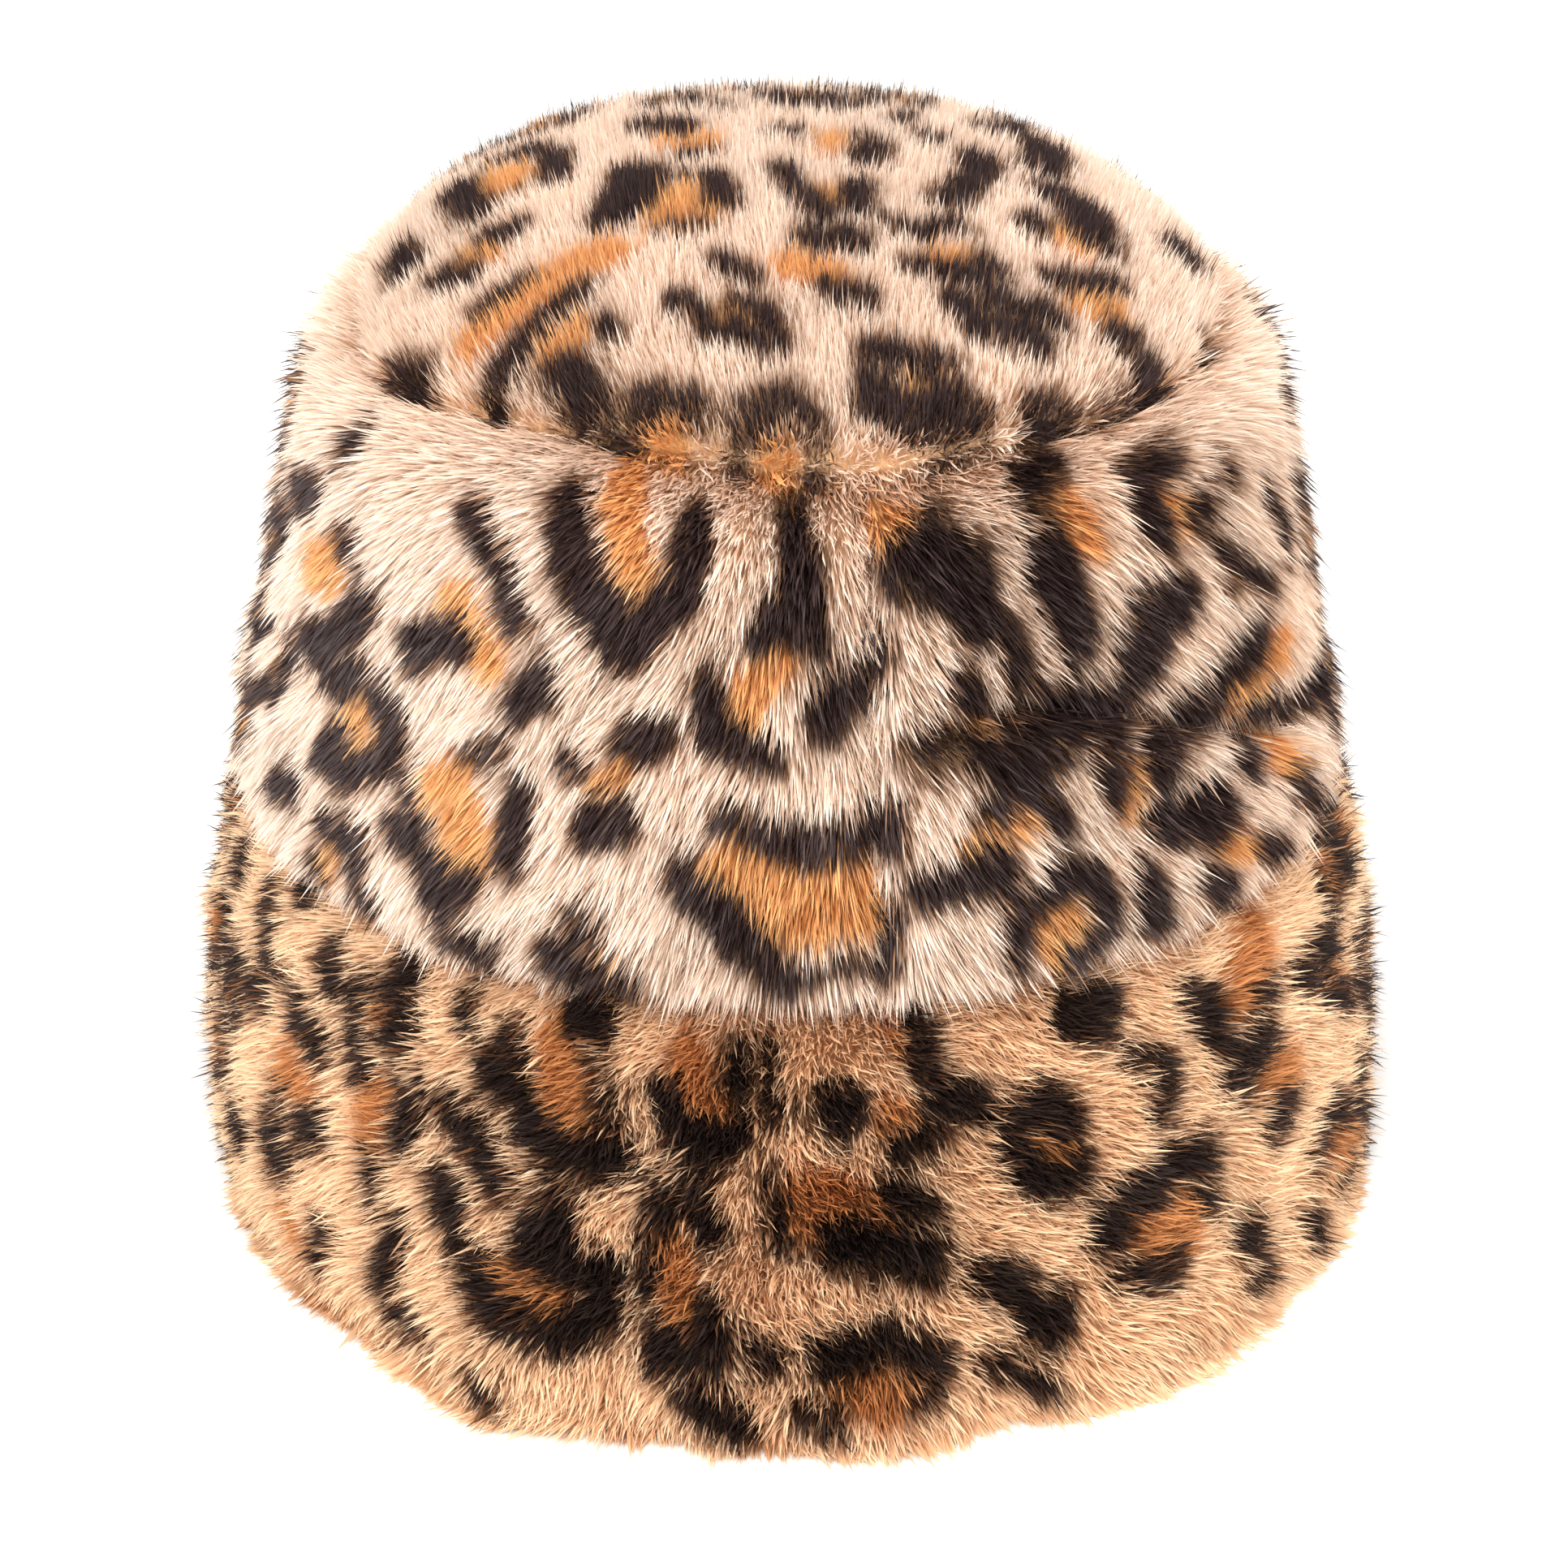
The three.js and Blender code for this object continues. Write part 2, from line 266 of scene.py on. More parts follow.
def tip_point(hat, degrees, down, inset):
    up = 1 - down
    side, end = along(TIP_UP, TIP_SIDE, up), along(TIP_UP, TIP_ENDS, up)
    seam = tip_seam_height(hat, degrees) + hat.seam_gap / 2
    top = hat.brim_height + hat.band_height + hat.dome_height - inset
    height = seam + (top - seam) * along(TIP_UP, TIP_RISE, up)
    reach = (hat.tip_length / 2 - inset) * end
    return MIDDLE + ring(
        degrees, (hat.tip_width / 2 - inset) * side, reach, reach, height, hat.roundness
    )


def band_point(hat, degrees, down, inset):
    up = 1 - down
    side = hat.band_width + (hat.tip_width - hat.band_width) * along(BAND_UP, BAND_SIDE, up)
    end = hat.band_length + (hat.tip_length - hat.band_length) * along(BAND_UP, BAND_ENDS, up)
    bottom = hat.brim_height + hat.seam_gap / 2
    height = bottom + (tip_seam_height(hat, degrees) - hat.seam_gap / 2 - bottom) * up
    return MIDDLE + ring(
        degrees, side / 2 - inset, end / 2 - inset, end / 2 - inset, height, hat.roundness
    )


def brim_point(hat, degrees, down, inset):
    side, ends = along(BRIM_DOWN, BRIM_SIDE, down), along(BRIM_DOWN, BRIM_ENDS, down)
    swell = hat.wall * bells(HEM_SWELLS, degrees) * down**2 - inset
    lift = hat.wall * bells(HEM_LIFTS, degrees) * down**3
    return MIDDLE + ring(
        degrees,
        (hat.band_width + (hat.hem_width - hat.band_width) * side) / 2 + swell,
        hat.band_length / 2 + (hat.hem_front - hat.band_length / 2) * ends + swell,
        hat.band_length / 2 + (hat.hem_back - hat.band_length / 2) * ends + swell,
        (hat.brim_height - hat.seam_gap / 2) * (1 - down) + lift,
        hat.roundness,
    )


# The print, charted

# Each mark: its width in mm, then the points that it runs through. On the band and the brim a point
# is (degrees from the front, share of the way down the panel)
BAND_DARK = (
    (8, (-23.4, 0.06), (-21, 0.16), (-16.2, 0.27)),
    (6.5, (-9.3, 0.07), (-9.8, 0.17), (-15, 0.28)),
    (4.5, (-34.4, 0.1), (-31, 0.17), (-28.8, 0.22), (-27, 0.28)),
    (7, (-40.4, 0.37), (-34.4, 0.335)),
    (6, (-23.6, 0.375), (-26.4, 0.43)),
    (5.5, (-56.4, 0.55), (-49.2, 0.48), (-42.6, 0.525), (-42, 0.6)),
    (5.5, (-54, 0.66), (-49.2, 0.69), (-42.6, 0.625)),
    (2.5, (-31.8, 0.55), (-27.6, 0.525)),
    (5, (-25.6, 0.61), (-26.2, 0.75)),
    (6, (-40.2, 0.75), (-35, 0.79), (-34.6, 0.87), (-30.4, 0.815)),
    (3.5, (-39.5, 0.63), (-37.4, 0.7)),
    (6, (-60, 0.475), (-54.6, 0.435), (-48, 0.33)),
    (7.5, (-71.4, 0.22), (-64.8, 0.185)),
    (2.5, (-57, 0.22), (-51, 0.25)),
    (4.5, (-14.6, 0.46), (-11.4, 0.435)),
    (4.5, (-20.2, 0.51), (-19.2, 0.52)),
    (6, (-18, 0.64), (-14.6, 0.61)),
    (4, (-19.8, 0.83), (-17.4, 0.86)),
    (6.5, (-20.6, 0.93), (-17, 0.97), (-14.4, 0.97)),
    (5, (-50.4, 0.815), (-45.6, 0.8), (-45, 0.9), (-43.2, 0.97)),
    (4, (-51.8, 0.92), (-50.4, 0.95)),
    (5, (-31.8, 0.935), (-27.6, 0.975)),
    (5.5, (-63, 0.84), (-57.6, 0.79)),
    (6.5, (-69, 0.58), (-64.2, 0.525)),
    (4, (-72, 0.7), (-66, 0.645)),
    (4.5, (-55.5, 0.04), (-60, 0.07)),
    (6, (-7.2, 0.33), (-6.3, 0.42), (-1.6, 0.46)),
    (4.5, (-2.6, 0.23), (-0.5, 0.19)),
    (6, (0.2, 0.03), (1.2, 0.1), (2, 0.22)),
    (6.5, (3.2, 0.37), (4.4, 0.33), (7.2, 0.31)),
    (3, (9, 0.22), (9.6, 0.27)),
    (5, (-5.2, 0.59), (0, 0.63), (5.4, 0.63), (9.4, 0.58)),
    (3.5, (10.4, 0.57), (10.8, 0.64)),
    (6.5, (-9, 0.71), (-6, 0.77), (-2.8, 0.84), (-0.8, 0.92)),
    (5, (9, 0.79), (8.6, 0.93)),
    (4, (0, 0.915), (5.6, 0.89)),
    (9.5, (12.6, 0.12), (17.8, 0.13), (18.2, 0.21)),
    (2.5, (15, 0.03), (17, 0.04)),
    (9.5, (27.2, 0.15), (28.4, 0.21), (29.4, 0.29)),
    (5, (16, 0.335), (17.4, 0.37)),
    (4, (21.8, 0.25), (22.4, 0.37)),
    (3.5, (11.8, 0.455), (15.6, 0.49), (19.6, 0.47)),
    (2, (14, 0.405), (17, 0.4)),
    (5, (20.6, 0.45), (26.6, 0.5)),
    (5.5, (25.4, 0.415), (33.4, 0.46), (36, 0.4)),
    (8, (36, 0.39), (41, 0.3), (44.4, 0.29)),
    (5, (18, 0.6), (25.8, 0.52)),
    (4.5, (24.8, 0.62), (25.8, 0.66)),
    (5.5, (12, 0.745), (19.8, 0.725)),
    (5, (31.2, 0.54), (32.4, 0.65)),
    (7.5, (37.2, 0.55), (39.3, 0.64), (39.4, 0.74)),
    (5, (20.4, 0.92), (20.8, 0.82), (25.8, 0.765), (30, 0.81), (29.6, 0.91), (26.2, 0.975)),
    (6.5, (35.4, 0.84), (35.6, 0.92)),
    (6.5, (43.2, 0.765), (47.8, 0.755)),
    (6.5, (43.4, 0.9), (46, 0.95)),
    (5, (52.2, 0.88), (56.4, 0.95)),
    (5.5, (47.4, 0.5), (57.6, 0.455)),
    (4.5, (41.6, 0.515), (48, 0.565)),
    (5.5, (52.6, 0.68), (54, 0.74)),
    (4.5, (54, 0.62), (61.4, 0.645)),
    (5, (60, 0.815), (67.8, 0.975)),
    (4.5, (65.4, 0.71), (73, 0.74)),
    (3, (51, 0.22), (55.2, 0.3), (62, 0.38)),
    (2.5, (51.8, 0.31), (53.2, 0.34)),
    (5, (40.2, 0.1), (43.2, 0.17)),
    (4.5, (48, 0.15), (52.8, 0.115)),
    (3.5, (56, 0.09), (57.6, 0.13)),
    (5.5, (65.4, 0.22), (66.8, 0.34)),
    (3.5, (38.6, 0.04), (48, 0.025)),
    (3.5, (30.5, 0.0), (25.8, 0.02)),
)
BAND_TAN = (
    (8, (-17.4, 0.03), (-14, 0.16)),
    (6.5, (-35.4, 0.26), (-29.4, 0.355)),
    (7, (-51.4, 0.56), (-46.4, 0.605)),
    (11, (-33.4, 0.64), (-30.8, 0.735)),
    (7.5, (-61.8, 0.3), (-54.6, 0.295)),
    (4, (-17.6, 0.55), (-15.4, 0.52)),
    (2.5, (-18.6, 0.9), (-15.4, 0.91)),
    (6, (-49.2, 0.86), (-49.4, 0.92)),
    (3, (-70, 0.645), (-68, 0.65)),
    (6, (-3.6, 0.35), (-0.8, 0.27)),
    (12, (-4.2, 0.71), (0, 0.755), (5.6, 0.75)),
    (5, (9.8, 0.045), (14.2, 0.07)),
    (7, (28.2, 0.05), (32.4, 0.13)),
    (3.5, (14.8, 0.435), (18.4, 0.43)),
    (6, (16.6, 0.68), (22, 0.62)),
    (5, (35.1, 0.56), (34.5, 0.68)),
    (10, (24.2, 0.85), (25.2, 0.92)),
    (5, (44.6, 0.83), (49.8, 0.87)),
    (6, (49.2, 0.545), (63, 0.515)),
    (5, (57.6, 0.73), (63, 0.83)),
    (6, (45, 0.13), (46.4, 0.15)),
    (4, (52.6, 0.28), (54, 0.33)),
)
BRIM_DARK = (
    (6.5, (-26.4, 0.21), (-22.6, 0.26), (-21.4, 0.33), (-16.2, 0.375), (-14, 0.34)),
    (4, (-24.8, 0.13), (-24.2, 0.17)),
    (6.5, (-19.4, 0.05), (-16.4, 0.06)),
    (3.5, (-15.4, 0.2), (-15.6, 0.27)),
    (5.5, (-10.4, 0.2), (-9.2, 0.27), (-6, 0.31), (-3.8, 0.265)),
    (3.5, (-4.8, 0.09), (-4.2, 0.17)),
    (3, (-1.9, 0.09), (-0.8, 0.23)),
    (5, (-30.6, 0.33), (-27.6, 0.36), (-24.6, 0.45)),
    (7.5, (-29.8, 0.53), (-28.4, 0.59)),
    (8, (-19.2, 0.51), (-20.8, 0.56)),
    (6, (-21.4, 0.58), (-14.6, 0.62), (-14.4, 0.7), (-19.2, 0.765), (-25.2, 0.735), (-25.8, 0.66)),
    (4.5, (-9.6, 0.41), (-10.8, 0.5)),
    (4.5, (-7.4, 0.405), (-6, 0.5)),
    (4, (-11.4, 0.58), (-11.2, 0.64)),
    (4.5, (-6.2, 0.66), (-5.8, 0.72)),
    (6, (-10.2, 0.78), (-6, 0.765)),
    (5, (-34.2, 0.66), (-36.6, 0.81)),
    (4, (-39, 0.54), (-38.4, 0.62)),
    (4.5, (-42.8, 0.17), (-42.4, 0.22)),
    (5.5, (-36.4, 0.19), (-37.8, 0.24)),
    (3.5, (-39.8, 0.13), (-36.4, 0.125)),
    (6, (-48.8, 0.15), (-46.2, 0.175)),
    (5.5, (-41, 0.34), (-42.2, 0.3)),
    (5, (-34.4, 0.33), (-34.8, 0.44)),
    (5, (-52.2, 0.31), (-46.4, 0.345)),
    (6, (-48.2, 0.58), (-45.6, 0.545)),
    (3, (-53.4, 0.53), (-51, 0.6)),
    (6.5, (-54, 0.66), (-50.6, 0.69)),
    (5.5, (-62, 0.735), (-59.4, 0.78)),
    (5.5, (-61.8, 0.155), (-56.4, 0.26)),
    (4, (-60.6, 0.375), (-57, 0.36)),
    (3.5, (-45.6, 0.86), (-44.2, 0.78)),
    (4.5, (-25.4, 0.91), (-24.6, 0.94)),
    (4, (-34.8, 0.875), (-31.4, 0.9)),
    (5.5, (-7.4, 0.885), (-3.8, 0.92)),
    (4.5, (-2.8, 0.76), (-1.6, 0.78)),
    (3.5, (-30.2, 0.08), (-29.6, 0.11)),
    (5, (-57, 0.04), (-54, 0.05)),
    (5, (-38.4, 0.07), (-36.6, 0.08)),
    (3, (-1.2, 0.38), (-0.6, 0.5)),
    (6.5, (3.2, 0.215), (4.4, 0.225)),
    (5, (11.6, 0.205), (15.8, 0.23)),
    (4, (8.8, 0.32), (12, 0.3)),
    (5, (18.2, 0.35), (18.4, 0.3), (21, 0.265), (24.4, 0.31)),
    (5, (19.2, 0.4), (22.2, 0.445), (24.8, 0.43)),
    (2.5, (31, 0.215), (33, 0.225)),
    (4.5, (34.4, 0.26), (34.6, 0.31), (32.8, 0.36)),
    (4.5, (7.6, 0.405), (10.8, 0.45)),
    (6, (3.4, 0.515), (7.8, 0.53), (11.6, 0.59)),
    (5.5, (26.4, 0.58), (31.2, 0.53), (34.8, 0.495), (38.4, 0.515)),
    (4, (37.2, 0.6), (38, 0.63)),
    (4.5, (28.2, 0.7), (33.6, 0.735)),
    (6, (16.2, 0.64), (19.4, 0.72), (22.4, 0.75)),
    (5, (2.6, 0.765), (8.2, 0.735), (11.4, 0.81)),
    (3.5, (1.2, 0.905), (3.4, 0.93)),
    (3.5, (9.8, 0.9), (11.2, 0.88)),
    (4, (16.2, 0.845), (21.6, 0.92)),
    (6.5, (39, 0.17), (42, 0.235)),
    (4.5, (47.6, 0.245), (51, 0.235)),
    (5, (42, 0.36), (48.6, 0.34)),
    (3.5, (42.6, 0.42), (44, 0.44)),
    (5, (47.8, 0.55), (51, 0.53)),
    (5.5, (55.8, 0.28), (63, 0.28)),
    (4.5, (58.8, 0.375), (66, 0.485)),
    (4.5, (54, 0.72), (57.6, 0.655), (60.6, 0.72)),
    (3.5, (57.6, 0.86), (63, 0.905)),
    (4.5, (41.4, 0.74), (43.6, 0.77)),
    (4, (42, 0.86), (45.6, 0.905)),
    (4.5, (51.4, 0.85), (53, 0.9)),
    (5, (25.2, 0.09), (30, 0.08), (27.8, 0.15)),
    (4, (10.6, 0.03), (11, 0.12)),
)
BRIM_TAN = (
    (9.5, (-19.8, 0.13), (-18.4, 0.235)),
    (9, (-8, 0.13), (-6.6, 0.22)),
    (6.5, (-22.8, 0.665), (-18.8, 0.69)),
    (7.5, (-9, 0.53), (-8, 0.68)),
    (4.5, (-39.2, 0.185), (-38.8, 0.2)),
    (7.5, (-38.4, 0.4), (-38.8, 0.47)),
    (6.5, (-51.8, 0.455), (-48, 0.47)),
    (5, (-50, 0.8), (-48, 0.86)),
    (5, (7.4, 0.235), (9, 0.25)),
    (5, (20.8, 0.37), (23.6, 0.375)),
    (10.5, (1.6, 0.43), (6.2, 0.45)),
    (7.5, (30, 0.62), (34.8, 0.635)),
    (8.5, (4.6, 0.845), (8, 0.87)),
    (10.5, (45.4, 0.19), (49.8, 0.1)),
    (7, (47, 0.43), (51, 0.45)),
    (5.5, (60.8, 0.37), (63, 0.4)),
    (5.5, (57.4, 0.765), (61.8, 0.8)),
    (4, (8.4, 0.04), (8.8, 0.08)),
)
# On the tip a point is in millimetres from its middle, seen from above: (to +X, to the back)
TIP_DARK = (
    (6.5, (-55, 9), (-54, 1), (-52, -7)),
    (7, (-48, 15.5), (-43, 12)),
    (5.5, (-38.4, 6), (-38, -7.5)),
    (4.5, (-51, -12), (-50, -9)),
    (3, (-45.5, -8), (-43.5, -7)),
    (10.5, (-22, 15), (-19, 12)),
    (4.5, (-17, -5), (-13, -4.5)),
    (7, (-1, 6.5), (0.4, 3)),
    (3.5, (-11.5, 29), (-10.5, 24)),
    (8.5, (2, 27), (9, 27)),
    (4, (20.5, 22), (18, 15.5)),
    (4, (22.5, 8.5), (23.5, 5.5)),
    (9, (34, 21), (38.5, 25)),
    (8.5, (43, 16), (42.5, 8), (42, 1)),
    (4, (11.8, 5), (12.4, 2)),
    (6.5, (14, -1), (12.8, -9)),
    (6.5, (30.5, -2), (31, -11), (27.4, -21), (25, -25.5)),
    (9.5, (-24.5, -13), (-24.5, -22), (-27, -31)),
    (5, (-16.5, -17), (-12, -18), (-10, -31)),
    (3.5, (-20, -38), (-14, -38)),
    (5, (-1.5, -14), (1, -23.5), (5, -34)),
    (4.5, (11, -21), (10.5, -31.5)),
    (9.5, (43, -12), (47.6, -16), (48.2, -25.5)),
    (5, (38.6, -25), (38.6, -30)),
    (4.5, (16, -36.5), (20, -38), (26.6, -35)),
    (8, (-45.8, -23), (-45, -25)),
    (4.5, (-56.5, -26), (-51, -33.5)),
    (5.5, (-46, -65), (-40.6, -59), (-32, -52)),
    (4.5, (-47.4, -46.5), (-40.5, -43.5)),
    (6, (-34.6, -68), (-30.6, -73)),
    (4.5, (-28, -61), (-26.6, -64.5)),
    (4.5, (-17, -58.5), (-12, -66), (-1, -68.5)),
    (4, (-8, -60), (-2.4, -64)),
    (6, (3, -43), (9.6, -42)),
    (3.5, (-11.4, -49), (-5, -53.5)),
    (5, (6.4, -56.5), (12, -58)),
    (5, (19.4, -49), (29, -50)),
    (4.5, (30, -43.5), (31.4, -47)),
    (5.5, (25.6, -56.5), (28, -62), (37, -61)),
    (5.5, (31.6, -54), (37, -54.6)),
    (5, (40.5, -43.4), (46, -41.6), (51, -37.5)),
    (5.5, (39.6, -52.5), (40.6, -54.5)),
    (4.5, (52.5, -48), (50.6, -51)),
    (4.5, (12, -69.4), (22.4, -70.4)),
    (5.5, (11.8, -75), (18, -77.4), (26.6, -75)),
    (4, (-29, -78.4), (-22.4, -76), (-14, -78.4)),
    (3.5, (-19, -85.5), (-15, -86)),
    (2.6, (-7.6, -86), (-7.8, -80.5), (-1, -77.2), (4.6, -79), (4, -83)),
    (4.5, (37.5, -71.4), (44, -68.4), (50, -66)),
    (7.5, (56.5, -53), (61.5, -50)),
    (7, (53.5, -60), (51.5, -63)),
    (7, (-68, -38.5), (-63.6, -44), (-59, -50)),
    (4.5, (-55.5, -63), (-52, -66)),
    (4, (-49, -67.4), (-45, -71)),
    (5.5, (-64.4, -4.5), (-61.6, -15.5)),
    (6.5, (65.8, -5), (63, -12)),
    (5, (72.4, -23), (68.4, -33)),
)
TIP_TAN = (
    (12, (-48, 1), (-45.4, -3.5)),
    (7.5, (-19.4, 1.4), (-14.6, 2)),
    (5.5, (7, 1), (6.6, -6)),
    (12.5, (-17, -28), (-16.6, -34)),
    (5, (5.4, -24), (7.6, -30)),
    (7, (44, -28), (44.4, -31)),
    (7, (-51.4, -27), (-47.6, -31)),
    (8.5, (-47, -52.5), (-37, -47), (-28, -43.5)),
    (6.5, (-35, -64), (-32, -62)),
    (6.5, (-8.4, -63.6), (-6, -65.4)),
    (7.5, (1, -50.6), (5.6, -52)),
    (6, (24, -45), (26, -45.6)),
    (5, (32, -57.6), (33.4, -58)),
    (6.5, (45, -48), (49.4, -45)),
    (5, (19.4, -73.8), (23, -73.6)),
    (6.5, (-23.6, -80.4), (-18.4, -82)),
    (6.5, (-1.8, -83), (-0.4, -86)),
    (5.5, (40.6, -75), (45.6, -72.6)),
    (4.5, (57.4, -58), (54, -63)),
    (4.5, (-61.8, -54.6), (-57, -60)),
)
# How far round the chart goes, and how far back on the tip; past that the rosettes are dealt out
BAND_CHARTED, BRIM_CHARTED, TIP_CHARTED = 71, 63, 27


def rosettes(rng, centres):
    """Dark and tan marks of one rosette round each centre, in millimetres: a warm middle, and two
    to four dark arcs that don't quite close round it, or a solid spot."""
    dark, tan = [], []
    for x, y in centres:
        reach, squash, turn = rng.uniform(4.6, 7.4), rng.uniform(0.7, 1.0), rng.uniform(0, np.pi)
        across, down = np.array([np.cos(turn), np.sin(turn)]), np.array([-np.sin(turn), np.cos(turn)])
        centre = np.array([x, y])
        if rng.random() < 0.2:
            half = across * reach * 0.45
            dark.append((rng.uniform(4.5, 7), centre - half, centre + half))
            continue
        half = across * reach * 0.3
        tan.append((reach * 1.15, centre - half, centre + half))
        arcs = rng.integers(2, 5)
        for k in range(arcs):
            start = 2 * np.pi * (k + rng.uniform(-0.12, 0.12)) / arcs
            stop = start + 2 * np.pi / arcs * rng.uniform(0.45, 0.85)
            path = [
                centre + reach * (np.cos(a) * across + squash * np.sin(a) * down)
                for a in np.linspace(start, stop, 4)
            ]
            dark.append((rng.uniform(3.6, 6.2), *path))
    return dark, tan


def dealt_centres(rng, low, high, spacing, keep):
    """Centres in brick rows between two corners, each moved a little, where keep says so."""
    rows = np.arange(low[1] + spacing / 2, high[1], spacing * 0.86)
    centres = []
    for i, y in enumerate(rows):
        for x in np.arange(low[0] + (i % 2) * spacing / 2, high[0], spacing):
            moved = np.array([x, y]) + rng.uniform(-0.17, 0.17, 2) * spacing
            if keep(*moved):
                centres.append(moved)
    return centres


def mark_distance(marks, x, y):
    """Signed distance in mm from each point to the nearest mark's edge, under zero inside."""
    nearest = np.full(x.shape, 20.0)
    for width, *path in marks:
        for (ax, ay), (bx, by) in zip(path[:-1], path[1:]):
            dx, dy = bx - ax, by - ay
            t = np.clip(((x - ax) * dx + (y - ay) * dy) / (dx * dx + dy * dy + 1e-9), 0, 1)
            gap = np.hypot(x - ax - t * dx, y - ay - t * dy) - width / 2
            nearest = np.minimum(nearest, gap)
    return nearest


def to_mm(marks, per_degree, per_share):
    return [(w, *[(a * per_degree, b * per_share) for a, b in path]) for w, *path in marks]


def mean_reach(wide, deep):
    """The mean half width in mm of an oval."""
    return np.hypot(wide, deep) / np.sqrt(8) / MM


def print_of(kind, hat, degrees, down, places):
    """The print at points of a panel: distances in mm from its dark and its tan marks."""
    rng = np.random.default_rng(3 if kind == "tip" else 4)
    if kind == "tip":
        place = places - MIDDLE
        x, y = place[..., 0] / MM, place[..., 1] / MM
        centres = dealt_centres(rng, (-80, TIP_CHARTED), (80, 95), 20, lambda a, b: b > TIP_CHARTED + 5)
        charted = TIP_DARK, TIP_TAN
    else:
        brim = kind == "brim"
        reach = (
            mean_reach(hat.hem_width, hat.hem_front + hat.hem_back)
            if brim
            else mean_reach(hat.band_width, hat.band_length)
        )
        per_degree, per_share = reach * np.pi / 180, HIGH[kind]
        x, y = degrees * per_degree, down * per_share
        limit = (BRIM_CHARTED if brim else BAND_CHARTED) * per_degree
        charted = (
            to_mm(BRIM_DARK if brim else BAND_DARK, per_degree, per_share),
            to_mm(BRIM_TAN if brim else BAND_TAN, per_degree, per_share),
        )
        full = 180 * per_degree
        centres = dealt_centres(
            rng, (-full, 0), (full, per_share), 20, lambda a, b: limit + 3 < abs(a) < full - 4
        )
    dark, tan = rosettes(rng, centres)
    wavy_x = x + 0.9 * ripple(x, y, 9, 3) + 0.4 * ripple(x, y, 3.5, 4)
    wavy_y = y + 0.9 * ripple(x, y, 9, 5) + 0.4 * ripple(x, y, 3.5, 6)
    return (
        mark_distance(list(charted[0]) + dark, wavy_x, wavy_y),
        mark_distance(list(charted[1]) + tan, wavy_x, wavy_y),
    )


# The pelts

# Each pelt: the node that it replaces, then its panel and its slot
PELTS = {
    "crown_tip": ("tip", "tip_plush"),
    "side_band_left": ("band", "band_plush"),
    "side_band_right": ("band", "band_plush"),
    "brim_left": ("brim", "brim_plush"),
    "brim_right": ("brim", "brim_plush"),
}
POINT_OF = {"tip": tip_point, "band": band_point, "brim": brim_point}
# Spacing in mm of the grid that a pelt is made on
GRID = 2.4
# Rough measures of a panel in mm: its height down the slope and its length along one degree
HIGH = {"tip": 96, "band": 76, "brim": 62}
PER_DEGREE = {"tip": 1.45, "band": 1.83, "brim": 2.1}
# The same over the whole hat, which the waves of its pile are measured by
WAVE_HIGH, WAVE_PER_DEGREE = 70, 1.75
# The share of a hair's length at which it shows most, and is printed
SHOWN = 0.68
# The pile of each panel: how far its hairs gather into locks, the locks' size in mm, and how far in
# mm the dark marks spread and the edges of all marks are ragged
GROWTH = {"tip": (0.14, 1.5, 0.05, 1.0), "band": (0.14, 1.7, 0.35, 0.7), "brim": (0.16, 1.8, 0.3, 1.3)}
# What is worked out over a pelt before its hairs are grown
GROUND_LAYERS = {
    "reach": "FLOAT_VECTOR",
    "droop": "FLOAT_VECTOR",
    "stray": "FLOAT",
    "dark_mm": "FLOAT",
    "tan_mm": "FLOAT",
    # Where the colour is darkened: painted shade in the seams, along the partings and under the overhangs,
    # and patches near the brim's hem
    "crease": "FLOAT",
}


def span_of(node, hat):
    """Where a pelt starts and ends round the hat, in degrees."""
    seam = hat.band_seam if PELTS[node][0] == "band" else hat.brim_seam
    if node == "crown_tip":
        return 0.0, 360.0
    return (-180.0, seam) if node.endswith("left") else (seam, 180.0)


def undercoat_inset(kind, hat, pile, degrees, down, seam_distance):
    """How far the undercoat lies under the outline: it dips into the seams, the folds and the hem."""
    high = HIGH[kind]
    x, y = degrees * WAVE_PER_DEGREE, down * high
    depth = {"tip": pile.tip_depth, "band": pile.band_depth, "brim": pile.brim_depth}[kind] / MM
    depth = depth + 0.5 * ripple(x, y, 13, 11) + 0.35 * ripple(x, y, 6, 12)
    valley = 3.8 * bell(seam_distance, 2.6)
    if kind != "tip":
        valley = np.maximum(valley, 4.2 * bell(down * high, 3.4))
    if kind == "brim":
        valley = np.maximum(valley, 3.6 * bell((1 - down) * high, 3.2))
    else:
        valley = np.maximum(valley, 4.2 * bell((1 - down) * high, 3.4))
    if kind == "band":
        for at, spread, up, tall, share in BAND_FOLDS:
            fold = share * hat.wall / MM * bell(away(degrees, at), spread)
            depth = depth + 0.6 * fold * bell(1 - down - up, tall)
        valley = np.maximum(valley, 3.4 * parting(kind, degrees, down, 2.6))
    return np.minimum(depth + valley, hat.wall / MM - 2.2) * MM


def surface_frame(points):
    """Unit vectors over a grid of points: outwards, down the panel and round it."""
    round_it = np.gradient(points, axis=1)
    down_it = np.gradient(points, axis=0)
    down_it /= np.linalg.norm(down_it, axis=-1, keepdims=True) + 1e-12
    out = np.cross(down_it, round_it)
    out /= np.linalg.norm(out, axis=-1, keepdims=True) + 1e-12
    round_it = np.cross(out, down_it)
    return out, down_it, round_it


def parting(kind, degrees, down, reach, above=0.0):
    """How near points of the band are to its partings, or to lines some millimetres above them."""
    if kind != "band":
        return 0.0 * down
    lines = to_mm([(0, *path) for path in PARTINGS], PER_DEGREE[kind], HIGH[kind])
    return bell(mark_distance(lines, degrees * PER_DEGREE[kind], down * HIGH[kind] + above), reach)


